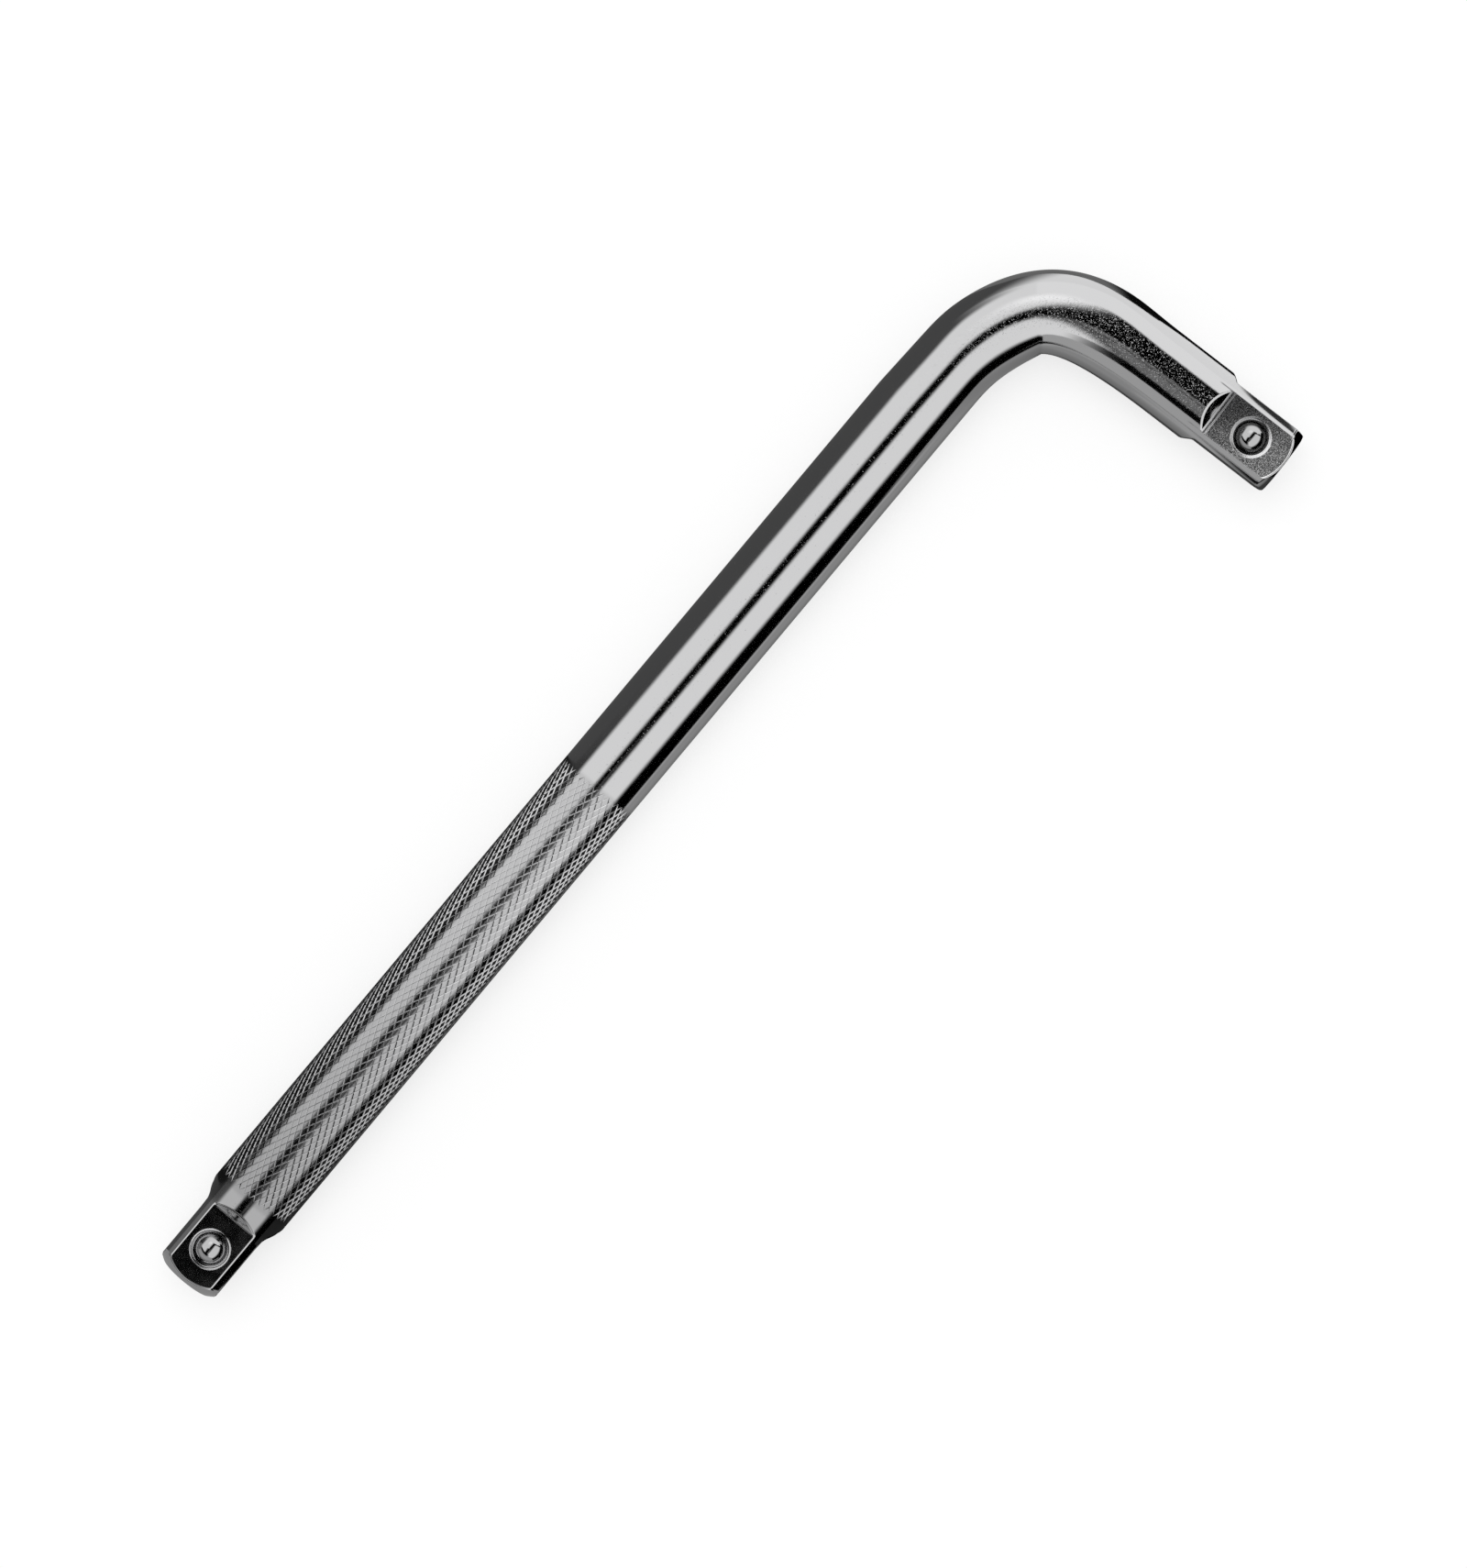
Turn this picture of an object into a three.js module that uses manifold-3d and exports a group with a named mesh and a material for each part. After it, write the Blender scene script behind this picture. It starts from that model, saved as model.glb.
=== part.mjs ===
// L-handle socket wrench: a round bar bent once, with a square drive on each end.
// A ball on a spring sits in each drive and holds the socket on.
// Millimetres, +Z up. The tool lies flat, and its balls face up.
import * as THREE from 'three';
import { mergeVertices } from 'three/addons/utils/BufferGeometryUtils.js';
import Module from 'manifold-3d';

const { degToRad } = THREE.MathUtils;

// Bar sizes. The corner is the point where the axes of the two arms meet.
// Bending has drawn the short arm in a little, so that it is wider from top to bottom.
const longBarDiameter = 15.9;
const shortBarWidth = 15.3;
const shortBarHeight = 15.9;
const longTipToCorner = 241.3;
const shortTipToCorner = 58;
const turnAngle = degToRad(87.6);

// Outer side of the bend, as stations measured from the corner along each arm
const bendLeadIn = 33.2;
const outerStart = 17;
const outerStartInset = 0.65;
const outerStartAngle = degToRad(10);
const outerStartHandle = 12.7;
const outerEnd = 24.4;
const outerEndAngle = degToRad(-5.5);
const outerEndHandle = 21.4;

// Inner side of the bend, which is pinched to a crease
const innerStart = 26.6;
const innerStartHandle = 5.3;
const creaseAcross = 11.4;
const creaseBack = 10.5;
const creaseBeforeAngle = degToRad(23);
const creaseBeforeHandle = 8.9;
const creaseAfterAngle = degToRad(47);
const creaseAfterHandle = 4.7;
const innerEnd = 33.9;
const innerEndHandle = 7.9;
const softInnerHandleShare = 0.9;
const pinchFadePower = 3;

// Knurled grip on the long arm
const gripStart = 20;
const gripLength = 98.6;
const grooveDepth = 0.3;
const helixAngle = degToRad(26);
const knurlStarts = 24;

// Square drives
const driveSquare = 12.7;
const faceRampRun = 1.6;
const longDrive = {
  name: 'long_drive',
  flatLength: 14.9,
  ballStation: 8,
  innerRampRun: 2.4,
  outerRampRun: 2.4,
  tipFaceRadius: 5.1,
  tipLength: 2.5,
  tipBulgeShare: 0.75,
};
const shortDrive = {
  name: 'short_drive',
  flatLength: 15.6,
  ballStation: 7.8,
  innerRampRun: 2.2,
  outerRampRun: 1.4,
  tipFaceRadius: 6.15,
  tipLength: 1.9,
  tipBulgeShare: 0.6,
};

// Ball, its bore and the ring that is punched round it to keep it in
const ballDiameter = 6;
const ballProtrusion = 1.4;
const boreClearance = 0.3;
const boreDepth = 9.5;
const lipClearance = 0.32;
const lipThickness = 0.4;
const lipTaper = 0.5;
const punchedRingInnerGap = 0.7;
const punchedRingWidth = 0.4;
const punchedRingDepth = 0.15;

// Spring under the ball
const wireDiameter = 0.6;
const springSideClearance = 0.35;
const springEndClearance = 0.1;
const springTurns = 4.25;

// Counts and working values
const barSides = 2 * knurlStarts;
const bendRingsEachHalf = 13;
const tipRings = 4;
const ballSegments = 24;
const boreSegments = 32;
const wireSides = 6;
const stepsPerTurn = 12;
const cutOverrun = 2;
const weldTolerance = 1e-4;

// Sizes worked out from those above
const longRadius = longBarDiameter / 2;
const shortHalfWidth = shortBarWidth / 2;
const shortHalfHeight = shortBarHeight / 2;
const halfSquare = driveSquare / 2;
const ballRadius = ballDiameter / 2;
const ballDepth = ballRadius - ballProtrusion;
const boreRadius = ballRadius + boreClearance;
const ballRadiusAtFace = Math.sqrt(ballRadius ** 2 - ballDepth ** 2);
const lipRadius = ballRadiusAtFace + lipClearance;
const wireRadius = wireDiameter / 2;
const springRadius = boreRadius - springSideClearance - wireRadius;

const wasm = await Module();
wasm.setup();

// Turns a closed three.js geometry into a solid that can be cut
function solidOf(geometry) {
  const bare = weld(geometry);
  return new wasm.Manifold(new wasm.Mesh({
    numProp: 3,
    vertProperties: new Float32Array(bare.attributes.position.array),
    triVerts: new Uint32Array(bare.index.array),
  }));
}

// Turns a cut solid back into a three.js geometry
function geometryOf(solid) {
  const mesh = solid.getMesh();
  const geometry = new THREE.BufferGeometry();
  geometry.setAttribute('position', new THREE.BufferAttribute(new Float32Array(mesh.vertProperties), 3));
  geometry.setIndex(new THREE.BufferAttribute(new Uint32Array(mesh.triVerts), 1));
  return geometry;
}

// Leaves only positions, with one vertex where several lay together
function weld(geometry) {
  const bare = geometry.clone();
  bare.deleteAttribute('normal');
  bare.deleteAttribute('uv');
  return mergeVertices(bare, weldTolerance);
}

// Joins rings of points, all with as many points, into one closed skin.
// chooseDiagonal(ring, side) is true where a face is split from its first corner.
function skin(rings, chooseDiagonal = () => false) {
  const sides = rings[0].length;
  const points = rings.flat();
  const faces = [];
  const at = (ring, side) => ring * sides + (side % sides);
  for (let ring = 0; ring < rings.length - 1; ring += 1) {
    for (let side = 0; side < sides; side += 1) {
      const a = at(ring, side);
      const b = at(ring, side + 1);
      const c = at(ring + 1, side);
      const d = at(ring + 1, side + 1);
      if (chooseDiagonal(ring, side)) {
        faces.push(a, b, d, a, d, c);
      } else {
        faces.push(a, b, c, b, d, c);
      }
    }
  }
  const last = rings.length - 1;
  const startCentre = points.length;
  points.push(middleOf(rings[0]));
  const endCentre = points.length;
  points.push(middleOf(rings[last]));
  for (let side = 0; side < sides; side += 1) {
    faces.push(startCentre, at(0, side + 1), at(0, side));
    faces.push(endCentre, at(last, side), at(last, side + 1));
  }
  const geometry = new THREE.BufferGeometry().setFromPoints(points);
  geometry.setIndex(faces);
  return geometry;
}

function middleOf(ring) {
  const sum = new THREE.Vector3();
  ring.forEach((point) => sum.add(point));
  return sum.divideScalar(ring.length);
}

// Directions of the arms in plan. The long arm runs up to the corner along +Y.
const shortHeading = new THREE.Vector2(Math.sin(turnAngle), Math.cos(turnAngle));
const shortOutward = new THREE.Vector2(-Math.cos(turnAngle), Math.sin(turnAngle));

// A point beside an arm: station from the corner, offset toward the outer side
function besideLong(station, offset) {
  return new THREE.Vector2(-offset, -station);
}

function besideShort(station, offset) {
  return shortHeading.clone().multiplyScalar(station).addScaledVector(shortOutward, offset);
}

// A step from a point. The angle turns from the +Y heading toward +X.
function stepFrom(point, angle, length) {
  return point.clone().add(new THREE.Vector2(Math.sin(angle) * length, Math.cos(angle) * length));
}

function joined(...curves) {
  const path = new THREE.CurvePath();
  curves.forEach((curve) => path.add(curve));
  return path;
}

// Plan of the bend: an outer side, a soft inner side and the creased inner side
function bendPlan() {
  const outerFrom = besideLong(bendLeadIn, longRadius);
  const outerKnee = besideLong(outerStart, longRadius - outerStartInset);
  const outerTo = besideShort(outerEnd, shortHalfWidth);
  const outer = joined(
    new THREE.LineCurve(outerFrom, outerKnee),
    new THREE.CubicBezierCurve(
      outerKnee,
      stepFrom(outerKnee, outerStartAngle, outerStartHandle),
      stepFrom(outerTo, turnAngle - outerEndAngle, -outerEndHandle),
      outerTo,
    ),
    new THREE.LineCurve(outerTo, besideShort(innerEnd, shortHalfWidth)),
  );

  const innerFrom = besideLong(bendLeadIn, -longRadius);
  const innerBendFrom = besideLong(innerStart, -longRadius);
  const innerTo = besideShort(innerEnd, -shortHalfWidth);
  const crease = new THREE.Vector2(creaseAcross, -creaseBack);
  const leadIn = new THREE.LineCurve(innerFrom, innerBendFrom);
  const beforeCrease = new THREE.CubicBezierCurve(
    innerBendFrom,
    stepFrom(innerBendFrom, 0, innerStartHandle),
    stepFrom(crease, creaseBeforeAngle, -creaseBeforeHandle),
    crease,
  );
  const afterCrease = new THREE.CubicBezierCurve(
    crease,
    stepFrom(crease, creaseAfterAngle, creaseAfterHandle),
    stepFrom(innerTo, turnAngle, -innerEndHandle),
    innerTo,
  );
  const softStartHandle = (innerStart - shortHalfWidth) * softInnerHandleShare;
  const softEndHandle = (innerEnd - longRadius) * softInnerHandleShare;
  const softInner = new THREE.CubicBezierCurve(
    innerBendFrom,
    stepFrom(innerBendFrom, 0, softStartHandle),
    stepFrom(innerTo, turnAngle, -softEndHandle),
    innerTo,
  );
  const creased = joined(leadIn, beforeCrease, afterCrease);
  const creaseShare = (leadIn.getLength() + beforeCrease.getLength()) / creased.getLength();
  return { outer, creased, creaseShare, soft: joined(leadIn, softInner) };
}

// One ring of points round the bar, from its outer side over the top to its inner side.
// pinch moves the inner side in plan. lowSide names the points that lie in a groove.
function barRing({ outer, inner, height, pinch = new THREE.Vector2(), lowSide = null }) {
  const middle = outer.clone().add(inner).divideScalar(2);
  const half = outer.clone().sub(inner).divideScalar(2);
  const lowShare = 1 - grooveDepth / height;
  return Array.from({ length: barSides }, (_, side) => {
    const turn = (side / barSides) * 2 * Math.PI;
    const innerShare = ((1 - Math.cos(turn)) / 2) ** pinchFadePower;
    const reach = side % 2 === lowSide ? lowShare : 1;
    const x = middle.x + half.x * Math.cos(turn) * reach + pinch.x * innerShare;
    const y = middle.y + half.y * Math.cos(turn) * reach + pinch.y * innerShare;
    return new THREE.Vector3(x, y, height * Math.sin(turn) * reach);
  });
}

function longRing(station, radius, lowSide = null) {
  const outer = besideLong(station, radius);
  const inner = besideLong(station, -radius);
  return barRing({ outer, inner, height: radius, lowSide });
}

function shortRing(station, halfWidth, height) {
  const outer = besideShort(station, halfWidth);
  const inner = besideShort(station, -halfWidth);
  return barRing({ outer, inner, height });
}

// The rounded tip of a drive, as distances from the tip and from the axis
function tipOutline({ tipFaceRadius, tipLength, tipBulgeShare }, barRadius) {
  const edge = new THREE.QuadraticBezierCurve(
    new THREE.Vector2(0, tipFaceRadius),
    new THREE.Vector2(tipLength * tipBulgeShare, barRadius),
    new THREE.Vector2(tipLength, barRadius),
  );
  return edge.getPoints(tipRings);
}

function longArmRings() {
  const rings = [];
  tipOutline(longDrive, longRadius).forEach((point) => {
    rings.push(longRing(longTipToCorner - point.x, point.y));
  });
  const gripFrom = longTipToCorner - gripStart;
  rings.push(longRing(gripFrom, longRadius));
  const pitchRound = (Math.PI * longBarDiameter) / knurlStarts;
  const rowSpacing = pitchRound / Math.tan(helixAngle) / 2;
  const rows = Math.round(gripLength / rowSpacing);
  const firstRow = rings.length;
  for (let row = 1; row < rows; row += 1) {
    rings.push(longRing(gripFrom - (gripLength * row) / rows, longRadius, row % 2));
  }
  rings.push(longRing(gripFrom - gripLength, longRadius));
  return { rings, firstRow, lastRow: rings.length - 1 };
}

function bendRings() {
  const { outer, creased, creaseShare, soft } = bendPlan();
  const steps = 2 * bendRingsEachHalf;
  return Array.from({ length: steps + 1 }, (_, step) => {
    const half = step / bendRingsEachHalf;
    const share = half < 1 ? creaseShare * half : creaseShare + (1 - creaseShare) * (half - 1);
    const inner = soft.getPoint(share);
    const pinch = creased.getPoint(share).sub(inner);
    const height = THREE.MathUtils.lerp(longRadius, shortHalfHeight, share);
    return barRing({ outer: outer.getPoint(share), inner, height, pinch });
  });
}

function shortArmRings() {
  const heights = tipOutline(shortDrive, shortHalfHeight);
  const rings = tipOutline(shortDrive, shortHalfWidth).map((point, step) => (
    shortRing(shortTipToCorner - point.x, point.y, heights[step].y)
  ));
  return rings.reverse();
}

// The round bar before its flats are cut
function roundBar() {
  const { rings, firstRow, lastRow } = longArmRings();
  const isGrooved = (ring) => ring >= firstRow - 1 && ring < lastRow;
  const grooveRunsUp = (ring, side) => (ring - firstRow + 1 + side) % 2 === 1;
  const diagonal = (ring, side) => isGrooved(ring) && grooveRunsUp(ring, side);
  return skin([...rings, ...bendRings(), ...shortArmRings()], diagonal);
}

// What is cut away above one flat: out past the tip, and a ramp at its inner end.
// Drawn with the tip at 0 and the bar along +Y, above the axis.
function flatCut({ flatLength }, barReach, rampRun) {
  const reach = barReach + cutOverrun;
  const rampSlope = rampRun / (barReach - halfSquare);
  const outline = new THREE.Shape([
    new THREE.Vector2(-cutOverrun, halfSquare),
    new THREE.Vector2(flatLength, halfSquare),
    new THREE.Vector2(flatLength + (reach - halfSquare) * rampSlope, reach),
    new THREE.Vector2(-cutOverrun, reach),
  ]);
  const block = new THREE.ExtrudeGeometry(outline, { depth: 2 * reach, bevelEnabled: false });
  block.translate(0, 0, -reach);
  block.rotateZ(Math.PI / 2);
  block.rotateY(Math.PI / 2);
  return block;
}

// The blind bore for the ball and spring, with its top at the drive face.
// Its mouth narrows to a lip, and a ring is punched round the mouth.
function boreCut() {
  const outline = [
    [0, -boreDepth],
    [boreRadius, -boreDepth],
    [boreRadius, -lipThickness - lipTaper],
    [lipRadius, -lipThickness],
    [lipRadius, cutOverrun],
    [0, cutOverrun],
  ];
  return lathe(outline);
}

function punchedRingCut() {
  const from = lipRadius + punchedRingInnerGap;
  const to = from + punchedRingWidth;
  const flare = punchedRingWidth / punchedRingDepth / 2;
  const outline = [
    [from + punchedRingWidth / 2, -punchedRingDepth],
    [to + cutOverrun * flare, cutOverrun],
    [from, cutOverrun],
    [from, 0],
    [from + punchedRingWidth / 2, -punchedRingDepth],
  ];
  return lathe(outline);
}

// Turns an outline of radii and heights about +Z
function lathe(outline) {
  const points = outline.map(([radius, height]) => new THREE.Vector2(radius, height));
  return new THREE.LatheGeometry(points, boreSegments).rotateX(Math.PI / 2);
}

// Where a drive stands: its tip at the origin of the group, the bar along +Y
function placeDrive(drive, group) {
  if (drive === longDrive) {
    group.position.set(0, -longTipToCorner, 0);
  } else {
    const tip = besideShort(shortTipToCorner, 0);
    group.position.set(tip.x, tip.y, 0);
    group.rotation.z = Math.PI - turnAngle;
  }
  group.updateMatrix();
  return group;
}

// Everything that is cut from the round bar at one drive
function driveCuts(drive, halfWidth, halfHeight) {
  const { matrix } = placeDrive(drive, new THREE.Group());
  const xSides = drive === longDrive
    ? [drive.innerRampRun, drive.outerRampRun]
    : [drive.outerRampRun, drive.innerRampRun];
  const rampRuns = [faceRampRun, xSides[0], faceRampRun, xSides[1]];
  const flats = rampRuns.map((run, quarter) => {
    const barReach = quarter % 2 === 0 ? halfHeight : halfWidth;
    return flatCut(drive, barReach, run).rotateY((quarter * Math.PI) / 2);
  });
  const hollows = [boreCut(), punchedRingCut()].map((cut) => (
    cut.translate(0, drive.ballStation, halfSquare)
  ));
  return [...flats, ...hollows].map((cut) => solidOf(cut.applyMatrix4(matrix)));
}

// The bar as one forging, with its grip, flats and bores
function handleBar() {
  const cuts = [
    ...driveCuts(longDrive, longRadius, longRadius),
    ...driveCuts(shortDrive, shortHalfWidth, shortHalfHeight),
  ];
  const bar = cuts.reduce((solid, cut) => solid.subtract(cut), solidOf(roundBar()));
  return geometryOf(bar);
}

// A ball, with its middle as far under the drive face as its protrusion leaves it
function ball() {
  const geometry = new THREE.SphereGeometry(ballRadius, ballSegments, ballSegments / 2);
  geometry.rotateX(Math.PI / 2);
  geometry.translate(0, 0, -ballDepth);
  return weld(geometry);
}

// The spring's wire runs from the floor of the bore up to the ball
const springFrom = -boreDepth + springEndClearance + wireRadius;
const reachUnderBall = Math.sqrt((ballRadius + wireRadius) ** 2 - springRadius ** 2);
const springTo = -ballDepth - reachUnderBall - springEndClearance;
const springPitch = (springTo - springFrom) / springTurns;

function springPoint(step) {
  const turn = (step / stepsPerTurn) * 2 * Math.PI;
  const height = springFrom + (springPitch * step) / stepsPerTurn;
  return new THREE.Vector3(Math.cos(turn) * springRadius, Math.sin(turn) * springRadius, height);
}

function spring() {
  const steps = Math.round(springTurns * stepsPerTurn);
  const rings = [];
  for (let step = 0; step <= steps; step += 1) {
    const centre = springPoint(step);
    const outward = new THREE.Vector3(centre.x, centre.y, 0).normalize();
    const ring = Array.from({ length: wireSides }, (_, side) => {
      const turn = (side / wireSides) * 2 * Math.PI;
      const point = centre.clone().addScaledVector(outward, Math.cos(turn) * wireRadius);
      point.z += Math.sin(turn) * wireRadius;
      return point;
    });
    rings.push(ring.reverse());
  }
  return skin(rings);
}

// The least gap between two turns of the wire, measured between points along it
function leastSpringGap() {
  const steps = Math.round(springTurns * stepsPerTurn);
  let least = Infinity;
  for (let from = 0; from <= steps; from += 1) {
    for (let to = from + stepsPerTurn / 2; to <= steps; to += 1) {
      least = Math.min(least, springPoint(from).distanceTo(springPoint(to)) - wireDiameter);
    }
  }
  return least;
}
console.log(`least gap of a spring to itself: ${leastSpringGap().toFixed(2)} mm`);

// Finishes
const chrome = { color: 0xa9abad, roughness: 0.14, metalness: 1 };
const ballSteel = { color: 0xb4b6b8, roughness: 0.1, metalness: 1 };
const springSteel = { color: 0x8c8b88, roughness: 0.35, metalness: 1 };

function addMesh(group, name, geometry, finish) {
  geometry.computeVertexNormals();
  const mesh = new THREE.Mesh(geometry, new THREE.MeshStandardMaterial(finish));
  mesh.name = name;
  group.add(mesh);
}

const group = new THREE.Group();
addMesh(group, 'l_handle_bar', handleBar(), chrome);
[longDrive, shortDrive].forEach((drive) => {
  const end = placeDrive(drive, new THREE.Group());
  const bore = new THREE.Group();
  bore.position.set(0, drive.ballStation, halfSquare);
  addMesh(bore, `${drive.name}_ball`, ball(), ballSteel);
  addMesh(bore, `${drive.name}_spring`, spring(), springSteel);
  end.add(bore);
  group.add(end);
});

// The origin lies under the middle of the whole tool, on the surface that it lies on
const bounds = new THREE.Box3().setFromObject(group, true);
const middle = bounds.getCenter(new THREE.Vector3());
group.position.set(-middle.x, -middle.y, -bounds.min.z);

export default group;
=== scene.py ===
import math

import bpy
import numpy as np
from mathutils import Matrix, Vector


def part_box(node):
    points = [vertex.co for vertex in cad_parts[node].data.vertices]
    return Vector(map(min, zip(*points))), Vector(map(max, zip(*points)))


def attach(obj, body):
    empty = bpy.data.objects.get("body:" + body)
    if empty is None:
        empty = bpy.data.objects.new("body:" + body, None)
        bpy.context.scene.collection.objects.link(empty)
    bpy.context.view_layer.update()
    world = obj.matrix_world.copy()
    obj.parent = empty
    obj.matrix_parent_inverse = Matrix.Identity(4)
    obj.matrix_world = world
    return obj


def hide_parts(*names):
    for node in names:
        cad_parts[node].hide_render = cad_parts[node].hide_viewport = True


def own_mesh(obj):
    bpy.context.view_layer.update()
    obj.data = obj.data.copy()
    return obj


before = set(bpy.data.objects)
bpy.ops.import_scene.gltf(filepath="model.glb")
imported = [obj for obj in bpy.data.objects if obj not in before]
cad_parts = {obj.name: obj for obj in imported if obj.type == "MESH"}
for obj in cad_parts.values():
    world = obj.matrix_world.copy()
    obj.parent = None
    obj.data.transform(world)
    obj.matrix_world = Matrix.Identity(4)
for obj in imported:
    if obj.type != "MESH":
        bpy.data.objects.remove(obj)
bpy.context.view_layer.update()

MM = 0.001
FULL_TURN = 2 * math.pi

# Bar sizes in millimetres. The corner is the point where the axes of the two arms meet.
LONG_RADIUS = 7.95
SHORT_HALF_WIDTH = 7.65
SHORT_HALF_HEIGHT = 7.95
LONG_TIP_TO_CORNER = 241.3
SHORT_TIP_TO_CORNER = 58.0
TURN_ANGLE = math.radians(87.6)

# Outer side of the bend, as stations measured from the corner along each arm
BEND_LEAD_IN = 33.2
OUTER_START = 17.0
OUTER_START_INSET = 0.65
OUTER_START_ANGLE = math.radians(10)
OUTER_START_HANDLE = 12.7
OUTER_SOFTNESS = 3.5
OUTER_END = 24.4
OUTER_END_ANGLE = math.radians(-5.5)
OUTER_END_HANDLE = 21.4

# Inner side of the bend, which is pinched to a crease
INNER_START = 26.6
INNER_START_HANDLE = 5.3
CREASE_ACROSS = 11.4
CREASE_BACK = 10.5
CREASE_BEFORE_ANGLE = math.radians(23)
CREASE_BEFORE_HANDLE = 8.9
CREASE_AFTER_ANGLE = math.radians(47)
CREASE_AFTER_HANDLE = 4.7
INNER_END = 33.9
INNER_END_HANDLE = 7.9
SOFT_INNER_HANDLE_SHARE = 0.9
PINCH_FADE_POWER = 3
BEND_COLUMNS = 160
BEND_RINGS_EACH_HALF = 60

# Knurled grip on the long arm
GRIP_START = 20.0
GRIP_LENGTH = 98.6
KNURL_STARTS = 42
HELIX_ANGLE = math.radians(26)
GROOVE_DEPTH = 0.12
GROOVE_WIDTH = 0.3
GRIP_RUN_OUT = 1.2

# Square drives. The corner breaks are how far a rounded edge reaches to each side.
HALF_SQUARE = 6.35
EDGE_SOFTNESS = 0.14
TIP_FACE_BREAK = 0.25
TIP_EDGE_BREAK = 0.3
TIP_FACE_START_SHARE = 0.85
FLAT_END_BREAK = 0.2
LEAST_RAMP = 0.15
BEYOND_RAMP = 1.0
TIP_STEPS = 24
LONG_DRIVE = {
    "flat_length": 14.9,
    "ball_station": 8.0,
    "inner_ramp_run": 2.4,
    "outer_ramp_run": 2.4,
    "face_ramp_run": 1.6,
    "ring_break": 0.06,
    "tip_face_radius": 5.1,
    "tip_length": 2.5,
    "tip_bulge_share": 0.75,
    "face_ramp_break": 0.3,
    "side_ramp_break": 1.0,
    "half_width": LONG_RADIUS,
    "half_height": LONG_RADIUS,
}
SHORT_DRIVE = {
    "flat_length": 15.6,
    "ball_station": 7.8,
    "inner_ramp_run": 2.2,
    "outer_ramp_run": 1.4,
    "face_ramp_run": 1.85,
    "ring_break": 0.13,
    "tip_face_radius": 6.15,
    "tip_length": 1.9,
    "tip_bulge_share": 0.6,
    "face_ramp_break": 0.25,
    "side_ramp_break": 0.25,
    "half_width": SHORT_HALF_WIDTH,
    "half_height": SHORT_HALF_HEIGHT,
}

# Ball, its bore and the ring that is punched round it
BALL_RADIUS = 3.0
BALL_DEPTH = BALL_RADIUS - 1.4
BALL_ROWS = 48
BORE_RADIUS = 3.3
BORE_DEPTH = 9.5
LIP_RADIUS = 2.86
LIP_DEPTH = 0.62
LIP_TAPER = 0.5
RING_CREST_START = 3.32
RING_CREST_END = 3.6
RING_CREST_DROP = 0.01
RING_GROOVE_RADIUS = 3.76
RING_GROOVE_DEPTH = 0.09
RING_OUTER_RADIUS = 3.88
BORE_COLUMNS = 96
CUT_OVERRUN = 2.0

# Spring under the ball
WIRE_RADIUS = 0.3
WIRE_SIDES = 16
WIRE_SHARP_ANGLE = math.radians(50)
SPRING_RADIUS = 2.65
SPRING_END_CLEARANCE = 0.1
SPRING_TURNS = 4.25
STEPS_PER_TURN = 40

# Places in the row frame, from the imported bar's box, and the arms' middle lines in millimetres
BAR_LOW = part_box("l_handle_bar")[0]
CORNER = Vector((
    BAR_LOW.x + LONG_RADIUS * MM,
    BAR_LOW.y + LONG_TIP_TO_CORNER * MM,
    BAR_LOW.z + LONG_RADIUS * MM,
))
ARM_X = -25.1
ARM_Y = 116.0
SHORT_HEADING = np.array([math.sin(TURN_ANGLE), math.cos(TURN_ANGLE)])
SHORT_OUTWARD = np.array([-math.cos(TURN_ANGLE), math.sin(TURN_ANGLE)])

# The photograph's camera, fitted to the tool's outline
CAMERA_PLACE = Vector((-25.397, 63.750, 1097.447)) * MM
CAMERA_AIM = Vector((-6.349, 9.276, 7.95)) * MM
CAMERA_TURN = math.radians(39.996)
CAMERA_REACH = 10
FOCAL_PIXELS = 6500
PHOTO_WIDTH, PHOTO_HEIGHT = 1600, 1710
SENSOR_LENGTH = 36.0


def add_object(name, data):
    made = bpy.data.objects.new(name, data)
    bpy.context.scene.collection.objects.link(made)
    return made


def make_camera():
    """Looks down on the tool, turned so that the long arm runs up to the right."""
    camera = add_object("camera", bpy.data.cameras.new("camera"))
    back = (CAMERA_PLACE - CAMERA_AIM).normalized()
    across = Vector((math.cos(CAMERA_TURN), math.sin(CAMERA_TURN), 0))
    right = (across - across.dot(back) * back).normalized()
    up = back.cross(right)
    camera.matrix_world = Matrix.Translation(CAMERA_PLACE) @ Matrix((right, up, back)).transposed().to_4x4()
    camera.data.sensor_width = SENSOR_LENGTH
    camera.data.lens = FOCAL_PIXELS / max(PHOTO_WIDTH, PHOTO_HEIGHT) * SENSOR_LENGTH
    camera.data.clip_end = CAMERA_REACH
    bpy.context.scene.camera = camera


# Plan of the bar
CURVE_STEPS = 400
AVERAGE_STEPS = 41


def beside_long(station, offset):
    return np.array([-offset, -station])


def beside_short(station, offset):
    return SHORT_HEADING * station + SHORT_OUTWARD * offset


def step_from(point, angle, length):
    return point + np.array([math.sin(angle), math.cos(angle)]) * length


def curve(start, start_angle, start_handle, end, end_angle, end_handle):
    """A curve with a heading at each end, which it keeps for longer if the handle there is longer."""
    share = np.linspace(0, 1, CURVE_STEPS + 1)[:, None]
    rest = 1 - share
    near = rest ** 3 * start + 3 * rest ** 2 * share * step_from(start, start_angle, start_handle)
    return near + 3 * rest * share ** 2 * step_from(end, end_angle, -end_handle) + share ** 3 * end


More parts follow.
